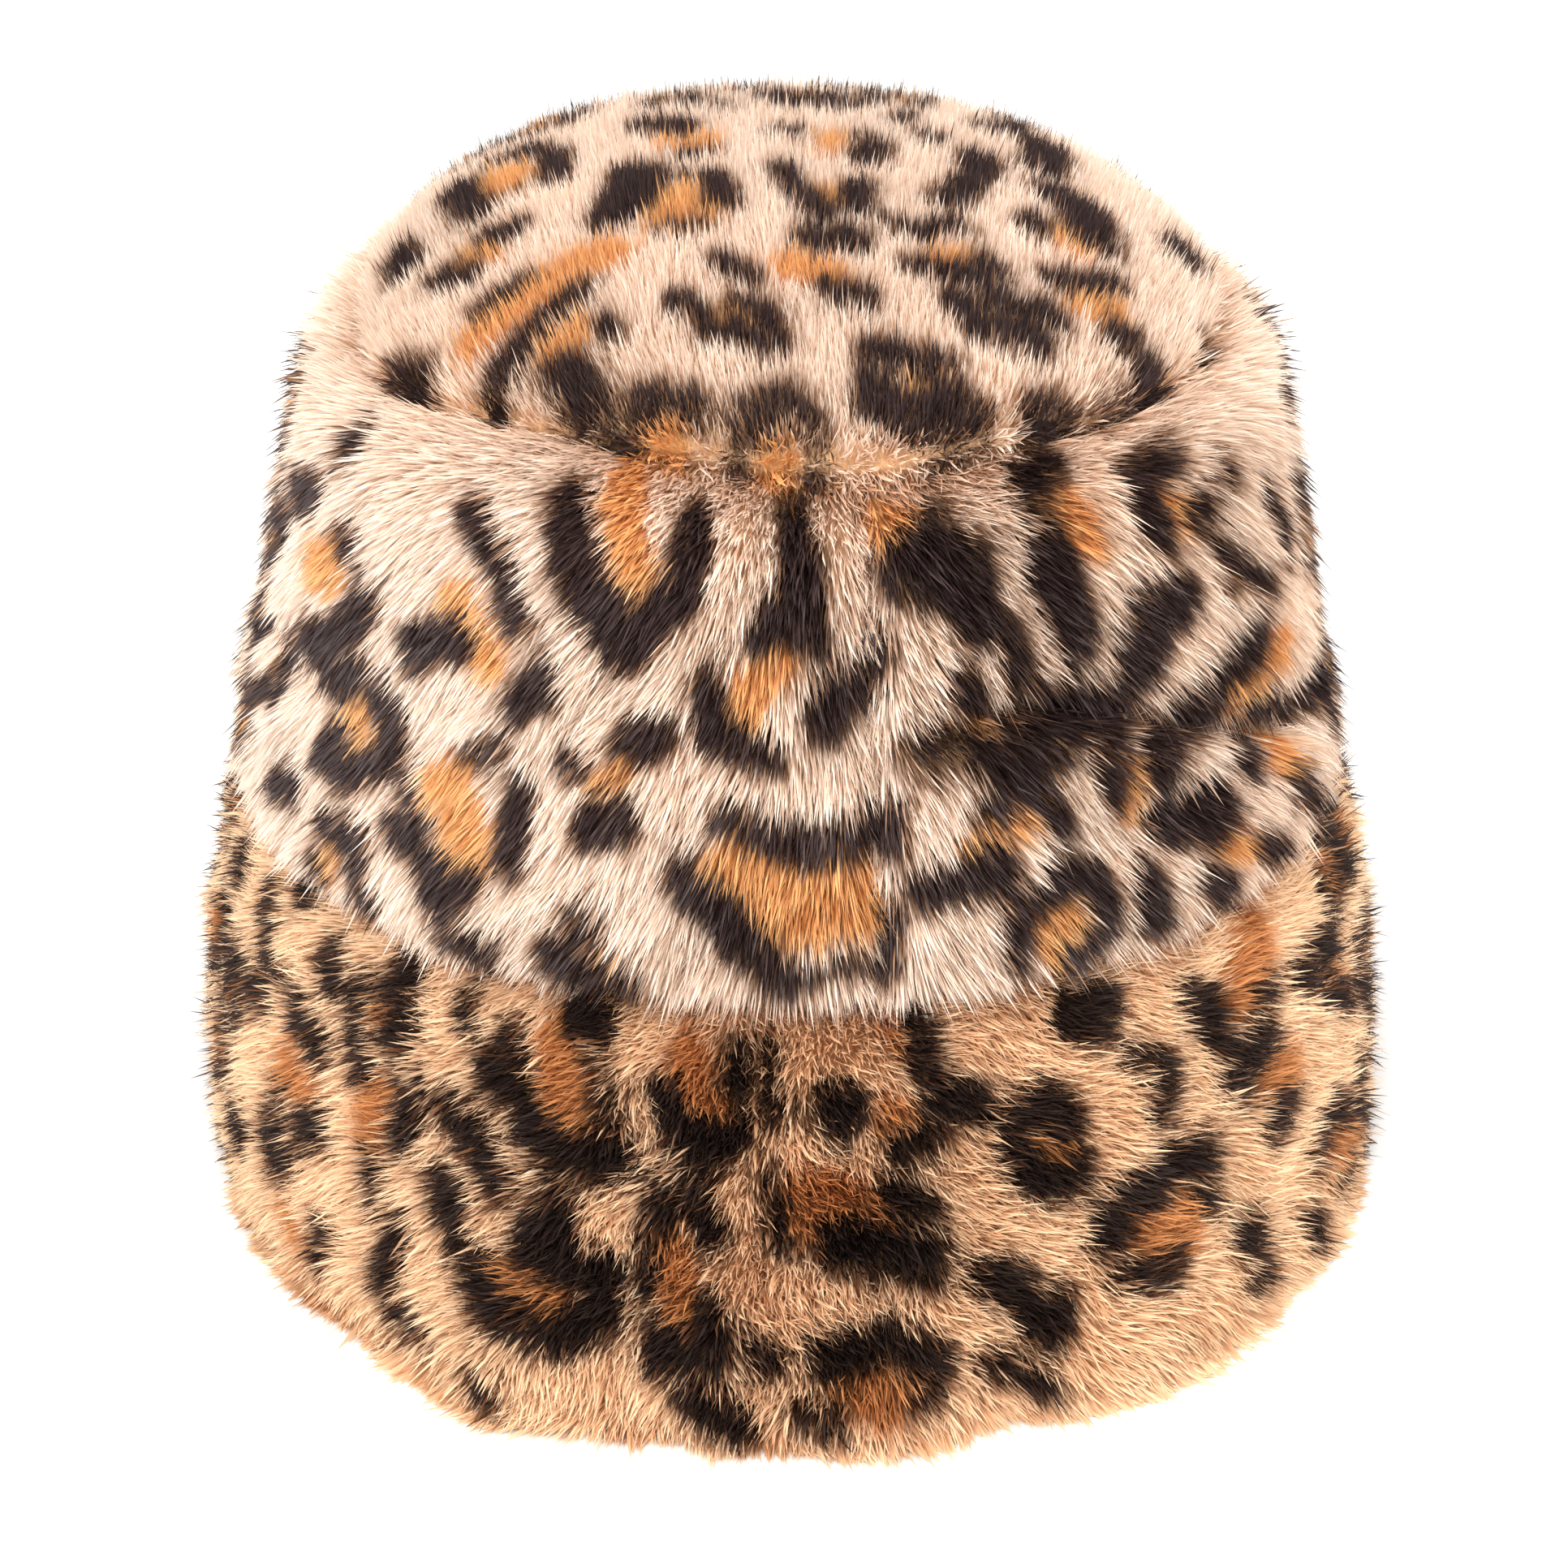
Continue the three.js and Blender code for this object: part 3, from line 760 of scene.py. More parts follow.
def turned(lean, turn, out, down_it, round_it):
    """Unit vectors that lean from upright by one angle, towards a turn from straight down, and the
    part of them that lies along the pelt."""
    lean, turn = np.radians(lean)[..., None], np.radians(turn)[..., None]
    flat = np.cos(turn) * down_it + np.sin(turn) * round_it
    return np.cos(lean) * out + np.sin(lean) * flat, flat


def hair_lie(kind, hat, degrees, down, points):
    """How the pile lies at points of a pelt: the unit way that a hair reaches, the way that it
    droops, its length as a share of the full one, and the share of it that strays."""
    out, down_it, round_it = surface_frame(points)
    x, y = degrees * WAVE_PER_DEGREE, down * WAVE_HIGH
    front = at_front(degrees)
    if kind == "tip":
        # The pile of the tip stands up, fanning out to the sides
        across = (points[..., 0] - MIDDLE[0]) / (hat.tip_width / 2)
        way = 0.4 * out + np.stack(
            [0.36 * across + 0.14 * ripple(x, y, 25, 21), 0.14 * ripple(x, y, 25, 22), 1 + 0 * x], -1
        )
        # At its front the seam drags it forwards
        drag = np.maximum(front * bell(1 - down, 0.13), bell(1 - down, 0.05))[..., None]
        way = way / np.linalg.norm(way, axis=-1, keepdims=True)
        way = (1 - drag) * way + drag * (0.65 * out + 0.6 * down_it)
        droop = 0.12 * way - 0.1 * out
        return way, droop, 1 - 0.1 * drag[..., 0], 0.13 + 0.25 * drag[..., 0]
    if kind == "band":
        lean = 54 + 6 * ripple(x, y, 30, 23) - 44 * bell(down, 0.12) * (1 - 0.8 * front)
        lean = lean - 16 * parting(kind, degrees, down, 3.0, 3.5)
        lean = lean - 30 * parting(kind, degrees, down, 2.5, -4)
        fan = 34 * np.tanh((degrees - 5) / 14) * np.cos(np.radians(degrees)) ** 2
        way, flat = turned(lean, fan + 9 * ripple(x, y, 24, 24), out, down_it, round_it)
        fuzz = front * bell(down, 0.08)
        short = 0.35 * fuzz + 0.5 * parting(kind, degrees, down, 1.8)
        return way, 0.1 * flat - 0.08 * out, 1 - short, 0.12 + 0.1 * fuzz
    side = np.tanh(degrees / 24)
    hem = bell(1 - down, 0.14)
    lean = 20 + 20 * np.abs(side) + 8 * ripple(x, y, 24, 25) + 26 * hem
    fan = 70 * side * (1 - 0.7 * hem) + 40 * ripple(x, y, 20, 26)
    way, flat = turned(lean, fan, out, down_it, round_it)
    uneven = 1 - 0.25 * bell(down, 0.08) + 0.22 * hem * ripple(x, y, 17, 27)
    return way, 0.14 * flat - 0.05 * out, uneven, 0.23 + 0 * x


def add_layer(mesh, name, kind, values, domain="POINT"):
    """One named attribute on a mesh."""
    layer = mesh.attributes.new(name, kind, domain)
    layer.data.foreach_set("vector" if kind == "FLOAT_VECTOR" else "value", np.ravel(values))


def grid_faces(first, rows, columns):
    """Corner indices of the quads of a grid of points, facing (down) x (round)."""
    at = first + np.arange(rows * columns).reshape(rows, columns)
    a, b, c, d = at[:-1, :-1], at[1:, :-1], at[1:, 1:], at[:-1, 1:]
    return np.stack([a, b, c, d], -1).reshape(-1, 4).tolist(), at


def pelt_surface(node, hat, pile):
    """Grids of degrees round the hat, shares of the way down and undercoat points."""
    kind = PELTS[node][0]
    start, stop = span_of(node, hat)
    rows = round(HIGH[kind] / GRID) + 1
    if kind == "tip":
        columns, margin = 181, 0
    else:
        columns = round((stop - start) * PER_DEGREE[kind] / GRID) + 1
        margin = np.degrees(hat.seam_gap / hat.tip_width)
    around, down = np.meshgrid(
        np.linspace(start + margin, stop - margin, columns), np.linspace(0, 1, rows)
    )
    if kind == "tip":
        down = np.maximum(down, 0.004)
        seam_distance = np.full(around.shape, 99.0)
    else:
        seam_distance = np.minimum(around - start, stop - around) * PER_DEGREE[kind]
    inset = undercoat_inset(kind, hat, pile, around, down, seam_distance)
    # Painted shade: the colour is darkened at the seams between the panels, most under the overhangs,
    # beside the sewn seams and along the partings
    front = 0.25 + 0.75 * at_front(around)
    above = bell(down * HIGH[kind], 1.9) * {"tip": 0, "band": 0.7 * front, "brim": 0.9}[kind]
    below = bell((1 - down) * HIGH[kind], 2.6) * {"tip": front, "band": 0.6, "brim": 0}[kind]
    if kind == "brim":
        # Near the hem the brim is darkened towards brown in patches
        brown = np.clip(ripple(around * PER_DEGREE[kind], 0 * around, 15, 28), 0, 1)
        below = 0.8 * brown * bell((1 - down) * HIGH[kind], 6)
    beside = (0.5 + 0.4 * bell(down, 0.35)) * bell(seam_distance, 1.4)
    crease = np.maximum.reduce([above, below, beside, 0.5 * parting(kind, around, down, 1.5)])
    return around, down, POINT_OF[kind](hat, around, down, inset), crease


def hair_length(kind, pile):
    return {"tip": pile.tip_hair, "band": pile.band_hair, "brim": pile.brim_hair}[kind]


def pile_grids(node, hat, pile, around, down, points):
    """What the pile does on an undercoat: each hair's reach, droop and stray, and the print where
    the middle of the hair shows."""
    kind = PELTS[node][0]
    way, droop, share, stray = hair_lie(kind, hat, around, down, points)
    hair = (hair_length(kind, pile) * share)[..., None]
    reach, droop, stray = hair * way, hair * droop, hair[..., 0] * stray
    round_it = surface_frame(points)[2]
    shown = SHOWN * reach
    shown_around = around + (shown * round_it).sum(-1) / MM / PER_DEGREE[kind]
    tall = {"tip": hat.dome_height, "band": hat.band_height, "brim": hat.brim_height}[kind]
    marks = print_of(kind, hat, shown_around, down - shown[..., 2] / tall, points + shown)
    return reach, droop, stray, marks


def mesh_from(name, points, faces):
    mesh = bpy.data.meshes.new(name)
    mesh.from_pydata(np.reshape(points, (-1, 3)).tolist(), [], faces)
    mesh.update()
    thing = bpy.data.objects.new(name, mesh)
    bpy.context.scene.collection.objects.link(thing)
    return thing


def build_pelt(node, hat, pile):
    """The pelt: a closed shell of undercoat outside and knitted backing inside."""
    kind, slot = PELTS[node]
    around, down, outer, crease = pelt_surface(node, hat, pile)
    dark, tan = pile_grids(node, hat, pile, around, down, outer)[-1]
    rows, columns = around.shape
    inner_down = np.linspace(down[0, 0], 1, 9)
    inner_around, inner_share = np.meshgrid(around[0], inner_down)
    inner = POINT_OF[kind](hat, inner_around, inner_share, hat.wall)
    outer_faces, outer_at = grid_faces(0, rows, columns)
    inner_faces, inner_at = grid_faces(rows * columns, 9, columns)
    inner_faces = [face[::-1] for face in inner_faces]
    rim = []
    for a, b in ((outer_at[-1], inner_at[-1]), (inner_at[0], outer_at[0])):
        rim += np.stack([a[:-1], b[:-1], b[1:], a[1:]], -1).tolist()
    if kind == "tip":
        rim = rim[: columns - 1]
    else:
        rim.append([*outer_at[::-1, 0].tolist(), *inner_at[:, 0].tolist()])
        rim.append([*outer_at[:, -1].tolist(), *inner_at[::-1, -1].tolist()])
    points = np.concatenate([outer.reshape(-1, 3), inner.reshape(-1, 3)])
    pelt = mesh_from(f"{node}_pelt", points, outer_faces + inner_faces + rim)
    mesh = pelt.data
    many = len(inner_share.ravel())
    add_layer(mesh, "dark_mm", "FLOAT", np.concatenate([dark.ravel(), np.full(many, 9.0)]))
    add_layer(mesh, "tan_mm", "FLOAT", np.concatenate([tan.ravel(), np.full(many, 9.0)]))
    # Where the colour is darkened: painted shade in the seams, along the partings and under the overhangs,
    # and patches near the brim's hem
    add_layer(mesh, "crease", "FLOAT", np.concatenate([crease.ravel(), np.zeros(many)]))
    per_degree, high = PER_DEGREE[kind], HIGH[kind]
    flat = np.stack([around * per_degree * MM, down * high * MM], -1).reshape(-1, 2)
    inner_flat = np.stack([inner_around * per_degree * MM, inner_share * high * MM], -1).reshape(-1, 2)
    flat = np.concatenate([flat, inner_flat])
    corners = np.empty(len(mesh.loops), np.int32)
    mesh.loops.foreach_get("vertex_index", corners)
    mesh.uv_layers.new(name="cloth_metres").data.foreach_set("uv", flat[corners].ravel())
    mesh.materials.append(undercoat_material(kind))
    mesh.materials.append(backing_material())
    inside = np.zeros(len(mesh.polygons), np.int32)
    inside[len(outer_faces) :] = 1
    mesh.polygons.foreach_set("material_index", inside)
    close_up(mesh)
    mesh.polygons.foreach_set("use_smooth", np.ones(len(mesh.polygons), bool))
    return pelt


def close_up(mesh):
    """Merges the doubled points of the tip's start and pole, and closes what is left open."""
    form = bmesh.new()
    form.from_mesh(mesh)
    bmesh.ops.remove_doubles(form, verts=form.verts, dist=0.00002)
    open_edges = [edge for edge in form.edges if edge.is_boundary]
    if open_edges:
        bmesh.ops.holes_fill(form, edges=open_edges, sides=0)
    bmesh.ops.recalc_face_normals(form, faces=form.faces)
    form.to_mesh(mesh)
    form.free()


# Node trees

MATH, VECTOR, LAYER = "ShaderNodeMath", "ShaderNodeVectorMath", "GeometryNodeInputNamedAttribute"


def add(tree, kind, inputs=None, **settings):
    """Adds a node. Its inputs are given by name or number, as a value, a node whose first output
    is taken, or a pair of a node and the name of its output."""
    node = tree.nodes.new(kind)
    for key, value in settings.items():
        setattr(node, key, value)
    for key, value in (inputs or {}).items():
        if isinstance(key, str):
            socket = next(s for s in node.inputs if s.name == key and s.enabled)
        else:
            socket = node.inputs[key]
        if isinstance(value, bpy.types.Node):
            value = (value, None)
        if isinstance(value, tuple) and isinstance(value[0], bpy.types.Node):
            source, name = value
            tree.links.new(next(s for s in source.outputs if s.enabled and name in (None, s.name)), socket)
        else:
            socket.default_value = value
    return node


def rgba(value):
    return (*value, 1.0)


def blade():
    """One hair, a sliver with all its corners at its root until it is grown: how far along and how
    far to the side each corner lies is in its attributes."""
    mesh = bpy.data.meshes.new("hair_blade")
    mesh.from_pydata([(0, 0, 0)] * 3, [], [(0, 1, 2)])
    add_layer(mesh, "along", "FLOAT", [0, 0.64, 1])
    add_layer(mesh, "side", "FLOAT", [0, 1, 0])
    thing = bpy.data.objects.new("hair_blade", mesh)
    bpy.context.scene.collection.objects.link(thing)
    return thing


def pile_inputs(tree):
    """The named inputs of the pile's tree: their identifiers by name."""
    sockets = {}
    for name, kind, default in (
        ("Geometry", "NodeSocketGeometry", None),
        ("Hair", "NodeSocketObject", None),
        ("Density", "NodeSocketFloat", 1e6),
        ("Width", "NodeSocketFloat", 0.0003),
        ("Seed", "NodeSocketInt", 1),
        ("Gather", "NodeSocketFloat", 0.15),
        ("Lock size", "NodeSocketFloat", 0.0025),
        ("Spread of dark", "NodeSocketFloat", 0.5),
        ("Raggedness", "NodeSocketFloat", 0.6),
        ("Cream", "NodeSocketColor", None),
        ("Tan", "NodeSocketColor", None),
        ("Brown", "NodeSocketColor", None),
        ("Dark", "NodeSocketColor", None),
        ("Material", "NodeSocketMaterial", None),
    ):
        item = tree.interface.new_socket(name=name, in_out="INPUT", socket_type=kind)
        if default is not None:
            item.default_value = default
        sockets[name] = item.identifier
    return sockets


def hair_course(tree, given, roots):
    """The course of each hair: the nodes that give its aim, its bow and its width across, and the
    place on the pelt whose print it shows."""
    reach = add(tree, LAYER, {"Name": "reach"}, data_type="FLOAT_VECTOR")
    stray = add(tree, LAYER, {"Name": "stray"}, data_type="FLOAT")
    # Most hairs are cut alike, and a few stand out above them
    luck = add(tree, "FunctionNodeRandomValue", {"Min": 0.0, "Max": 1.0, "Seed": 2}, data_type="FLOAT")
    rare = add(tree, MATH, {0: luck, 1: 16.0}, operation="POWER")
    cut = add(tree, MATH, {0: luck, 1: 0.3, 2: 0.7}, operation="MULTIPLY_ADD")
    growth = add(tree, MATH, {0: rare, 1: 0.35, 2: cut}, operation="MULTIPLY_ADD")
    toss, curl, twist = (
        add(
            tree,
            "FunctionNodeRandomValue",
            {"Min": (-size,) * 3, "Max": (size,) * 3, "Seed": seed},
            data_type="FLOAT_VECTOR",
        )
        for size, seed in ((1, 3), (1, 4), (0.4, 5))
    )
    grown = add(tree, VECTOR, {0: reach, "Scale": growth}, operation="SCALE")
    tossed = add(tree, VECTOR, {0: toss, "Scale": stray}, operation="SCALE")
    aimed = add(tree, VECTOR, {0: grown, 1: tossed}, operation="ADD")
    # Neighbouring hairs gather towards the middle of the lock that they stand in
    place = add(tree, "GeometryNodeInputPosition")
    per_metre = add(tree, MATH, {0: 1.0, 1: (given, "Lock size")}, operation="DIVIDE")
    lock = add(tree, "ShaderNodeTexVoronoi", {"Vector": place, "Scale": per_metre})
    to_lock = add(tree, VECTOR, {0: (lock, "Position"), 1: place}, operation="SUBTRACT")
    gather = add(tree, VECTOR, {0: to_lock, "Scale": (given, "Gather")}, operation="SCALE")
    curled = add(tree, VECTOR, {0: curl, "Scale": stray}, operation="SCALE")
    bent = add(tree, VECTOR, {0: curled, 1: gather}, operation="ADD")
    droop = add(tree, LAYER, {"Name": "droop"}, data_type="FLOAT_VECTOR")
    bow = add(tree, VECTOR, {0: bent, 1: droop}, operation="ADD")
    # A hair is flat to the pelt, give or take a twist
    facing = add(tree, VECTOR, {0: (roots, "Normal"), 1: twist}, operation="ADD")
    across = add(tree, VECTOR, {0: aimed, 1: facing}, operation="CROSS_PRODUCT")
    across = add(tree, VECTOR, {0: across}, operation="NORMALIZE")
    across = add(tree, VECTOR, {0: across, "Scale": (given, "Width")}, operation="SCALE")
    # The print of a place is that of a straight full hair rooted there, where its outer part lies.
    # A hair's shortness, stray and bow set its own outer part off from that one's
    missing = add(tree, MATH, {0: growth, 1: 1.0}, operation="SUBTRACT")
    missed = add(tree, VECTOR, {0: reach, "Scale": missing}, operation="SCALE")
    swung = add(tree, VECTOR, {0: tossed, 1: missed}, operation="ADD")
    swung = add(tree, VECTOR, {0: swung, "Scale": SHOWN}, operation="SCALE")
    swayed = add(tree, VECTOR, {0: bent, "Scale": SHOWN**2}, operation="SCALE")
    drift = add(tree, VECTOR, {0: swung, 1: swayed}, operation="ADD")
    printed = add(tree, VECTOR, {0: place, 1: drift}, operation="ADD")
    return aimed, bow, across, printed


def hair_dye_and_shade(tree, given, printed):
    """The colour of each hair: its dye, from how far its place in the print is from the nearest marks,
    darkened in the seams, along the partings and under the overhangs as painted shade.
    """
    dyed = (given, "Cream")
    # Dark marks have brown edges
    for seed, name, dye, edge, soft in (
        (7, "tan_mm", "Tan", 0.4, 1.0),
        (6, "dark_mm", "Brown", 0.8, 0.8),
        (6, "dark_mm", "Dark", 0.0, 0.6),
    ):
        to_mark = add(tree, LAYER, {"Name": name}, data_type="FLOAT")
        distance = add(
            tree,
            "GeometryNodeSampleNearestSurface",
            {"Mesh": (given, "Geometry"), "Value": to_mark, "Sample Position": printed},
            data_type="FLOAT",
        )
        jitter = add(
            tree, "FunctionNodeRandomValue", {"Min": -1.0, "Max": 1.0, "Seed": seed}, data_type="FLOAT"
        )
        moved = add(
            tree, MATH, {0: jitter, 1: (given, "Raggedness"), 2: distance}, operation="MULTIPLY_ADD"
        )
        if dye != "Tan":
            moved = add(tree, MATH, {0: moved, 1: (given, "Spread of dark")}, operation="SUBTRACT")
        limits = {"From Min": edge + soft, "From Max": edge - soft, "To Min": 0.0, "To Max": 1.0}
        share = add(
            tree, "ShaderNodeMapRange", {"Value": moved, **limits}, interpolation_type="SMOOTHSTEP"
        )
        dyed = add(
            tree, "ShaderNodeMix", {"Factor": share, "A": dyed, "B": (given, dye)}, data_type="RGBA"
        )
    # Down in the seams, under the overhangs and along the partings the hairs are darkened towards brown:
    # painted shade. Near the brim's hem the same darkening comes in patches.
    crease = add(tree, LAYER, {"Name": "crease"}, data_type="FLOAT")
    shaded_and_hem_brown_dye = add(
        tree,
        "ShaderNodeMix",
        {"Factor": 1.0, "A": dyed, "B": (0.6, 0.36, 0.18, 1.0)},
        data_type="RGBA",
        blend_type="MULTIPLY",
    )
    dyed = add(tree, "ShaderNodeMix", {"Factor": crease, "A": dyed, "B": shaded_and_hem_brown_dye}, data_type="RGBA")
    tone = add(tree, "FunctionNodeRandomValue", {"Min": 0.9, "Max": 1.05, "Seed": 8}, data_type="FLOAT")
    return add(tree, VECTOR, {0: dyed, "Scale": tone}, operation="SCALE")


def set_out(tree, loose):
    """Sets the corners of the realized hairs out along their courses."""
    t = add(tree, LAYER, {"Name": "along"}, data_type="FLOAT")
    side = add(tree, LAYER, {"Name": "side"}, data_type="FLOAT")
    t2 = add(tree, MATH, {0: t, 1: t}, operation="MULTIPLY")
    spot = add(tree, "GeometryNodeInputPosition")
    for name, share in (("aimed", t), ("bow", t2), ("across", side)):
        whole = add(tree, LAYER, {"Name": name}, data_type="FLOAT_VECTOR")
        part = add(tree, VECTOR, {0: whole, "Scale": share}, operation="SCALE")
        spot = add(tree, VECTOR, {0: spot, 1: part}, operation="ADD")
    # What would hang below the hem lies on the surface that the hat stands on
    on_floor = add(tree, VECTOR, {0: spot, 1: (-9.0, -9.0, 0.0003)}, operation="MAXIMUM")
    return add(tree, "GeometryNodeSetPosition", {"Geometry": loose, "Position": on_floor})


def pile_tree():
    """Grows hairs on a pelt: roots scattered on it, each hair's course and dye worked out at its
    root, and then the blade's corners set out along it."""
    tree = bpy.data.node_groups.new("growing pile", "GeometryNodeTree")
    sockets = pile_inputs(tree)
    tree.interface.new_socket(name="Geometry", in_out="OUTPUT", socket_type="NodeSocketGeometry")
    given = tree.nodes.new("NodeGroupInput")
    roots = add(
        tree,
        "GeometryNodeDistributePointsOnFaces",
        {"Mesh": (given, "Geometry"), "Density": (given, "Density"), "Seed": (given, "Seed")},
    )
    aimed, bow, across, printed = hair_course(tree, given, roots)
    stored = (roots, "Points")
    for name, kind, value in (
        ("aimed", "FLOAT_VECTOR", aimed),
        ("bow", "FLOAT_VECTOR", bow),
        ("across", "FLOAT_VECTOR", across),
        ("pile_colour", "FLOAT_COLOR", hair_dye_and_shade(tree, given, printed)),
    ):
        stored = add(
            tree,
            "GeometryNodeStoreNamedAttribute",
            {"Geometry": stored, "Name": name, "Value": value},
            data_type=kind,
        )
    hair = add(tree, "GeometryNodeObjectInfo", {"Object": (given, "Hair")})
    planted = add(
        tree, "GeometryNodeInstanceOnPoints", {"Points": stored, "Instance": (hair, "Geometry")}
    )
    loose = add(tree, "GeometryNodeRealizeInstances", {"Geometry": planted})
    laid = set_out(tree, loose)
    for name in ("aimed", "bow", "across", "side", *GROUND_LAYERS):
        laid = add(tree, "GeometryNodeRemoveAttribute", {"Geometry": laid, "Name": name})
    smooth = add(tree, "GeometryNodeSetShadeSmooth", {"Geometry": laid})
    painted = add(
        tree, "GeometryNodeSetMaterial", {"Geometry": smooth, "Material": (given, "Material")}
    )
    result = tree.nodes.new("NodeGroupOutput")
    tree.links.new(painted.outputs[0], result.inputs[0])
    return tree, sockets


def grow_pile(node, number, tree, sockets):
    """The pile of one pelt, grown on its undercoat and made a plain mesh."""
    settings = bpy.context.scene.plush_hat
    hat, pile, dyes = settings.shape, settings.pile, settings.dyes
    kind = PELTS[node][0]
    around, down, points, crease = pelt_surface(node, hat, pile)
    reach, droop, stray, (dark, tan) = pile_grids(node, hat, pile, around, down, points)
    faces, _ = grid_faces(0, *points.shape[:2])
    ground = mesh_from(f"{node}_pile", points, faces)
    for (name, form), values in zip(GROUND_LAYERS.items(), (reach, droop, stray, dark, tan, crease)):
        add_layer(ground.data, name, form, values)
    area = sum(face.area for face in ground.data.polygons)
    growing = ground.modifiers.new("pile", "NODES")
    growing.node_group = tree
    brim = kind == "brim"
    gather, lock_mm, spread, ragged = GROWTH[kind]
    for name, value in (
        ("Hair", bpy.data.objects["hair_blade"]),
        ("Density", pile.hairs / area),
        ("Width", pile.hair_width),
        ("Seed", number),
        ("Gather", gather),
        ("Lock size", lock_mm * MM),
        ("Spread of dark", spread),
        ("Raggedness", ragged),
        ("Cream", rgba(dyes.brim_cream if brim else dyes.cream)),
        ("Tan", rgba(dyes.brim_tan if brim else dyes.tan)),
        ("Brown", rgba(dyes.brim_halo if brim else dyes.halo)),
        ("Dark", rgba(dyes.brim_dark if brim else dyes.dark)),
        ("Material", pile_material(kind)),
    ):
        growing[sockets[name]] = value
    bpy.context.view_layer.update()
    seen = ground.evaluated_get(bpy.context.evaluated_depsgraph_get())
    grown = bpy.data.meshes.new_from_object(seen)
    ground.modifiers.clear()
    bare = ground.data
    ground.data = grown
    bpy.data.meshes.remove(bare)
    grown.name = f"{node}_pile"
    return ground


# The materials


def new_material(name, base, roughness, specular, sheen=0.0):
    """A node material with a Principled shader, and the two."""
    material = bpy.data.materials.new(name)
    material.use_nodes = True
    shader = material.node_tree.nodes["Principled BSDF"]
    shader.inputs["Base Color"].default_value = rgba(base)
    shader.inputs["Roughness"].default_value = roughness
    shader.inputs["Specular IOR Level"].default_value = specular
    shader.inputs["Sheen Weight"].default_value = sheen
    return material, shader


def pile_material(kind):
    """Acrylic pile, drawn from dyed fibres: matt on the brim where it is ruffled, and glossier on
    the crown where it is combed. Hairs are deeper in colour towards their roots, partly as deeper
    dye and partly as painted shade from down in the pile."""
    name = f"{kind} acrylic pile"
    if name in bpy.data.materials:
        return bpy.data.materials[name]
    dyes = bpy.context.scene.plush_hat.dyes
    deep = dyes.deep_and_shaded_brim_cream if kind == "brim" else dyes.deep_and_shaded_cream
    light = dyes.brim_cream if kind == "brim" else dyes.cream
    material, shader = new_material(name, light, {"tip": 0.6, "band": 0.5, "brim": 0.7}[kind], 0.4)
    tree = material.node_tree
    dye = add(tree, "ShaderNodeAttribute", attribute_name="pile_colour")
    t = add(tree, "ShaderNodeAttribute", attribute_name="along")
    # Towards its root a hair darkens to the deep cream: partly deeper dye, and partly painted shade from
    # down in the pile
    depth = add(
        tree,
        "ShaderNodeMapRange",
        {"Value": (t, "Fac"), "From Min": 0.0, "From Max": 0.8, "To Min": 1.0, "To Max": 0.0},
    )
    ratio = [b / max(a, 0.01) for a, b in zip(light, deep)]
    root_depth_and_shade = add(
        tree,
        "ShaderNodeMix",
        {"Factor": depth, "A": (1, 1, 1, 1), "B": rgba(ratio)},
        data_type="RGBA",
    )
    shaded = add(
        tree,
        "ShaderNodeMix",
        {"Factor": 1.0, "A": (dye, "Color"), "B": root_depth_and_shade},
        data_type="RGBA",
        blend_type="MULTIPLY",
    )
    place = add(tree, "ShaderNodeTexCoord")
    # Handling leaves patches about 25 mm wide a little lighter or duller
    patches = add(
        tree, "ShaderNodeTexNoise", {"Vector": (place, "Object"), "Scale": 1 / 0.025, "Detail": 2.0}
    )
    level = add(
        tree,
        "ShaderNodeMapRange",
        {"Value": (patches, "Fac"), "From Min": 0.3, "From Max": 0.7, "To Min": 0.94, "To Max": 1.04},
    )
    level = add(tree, "ShaderNodeCombineColor", {"Red": level, "Green": level, "Blue": level})
    worn = add(
        tree,
        "ShaderNodeMix",
        {"Factor": 1.0, "A": shaded, "B": level},
        data_type="RGBA",
        blend_type="MULTIPLY",
    )
    tree.links.new(worn.outputs[2], shader.inputs["Base Color"])
    return material


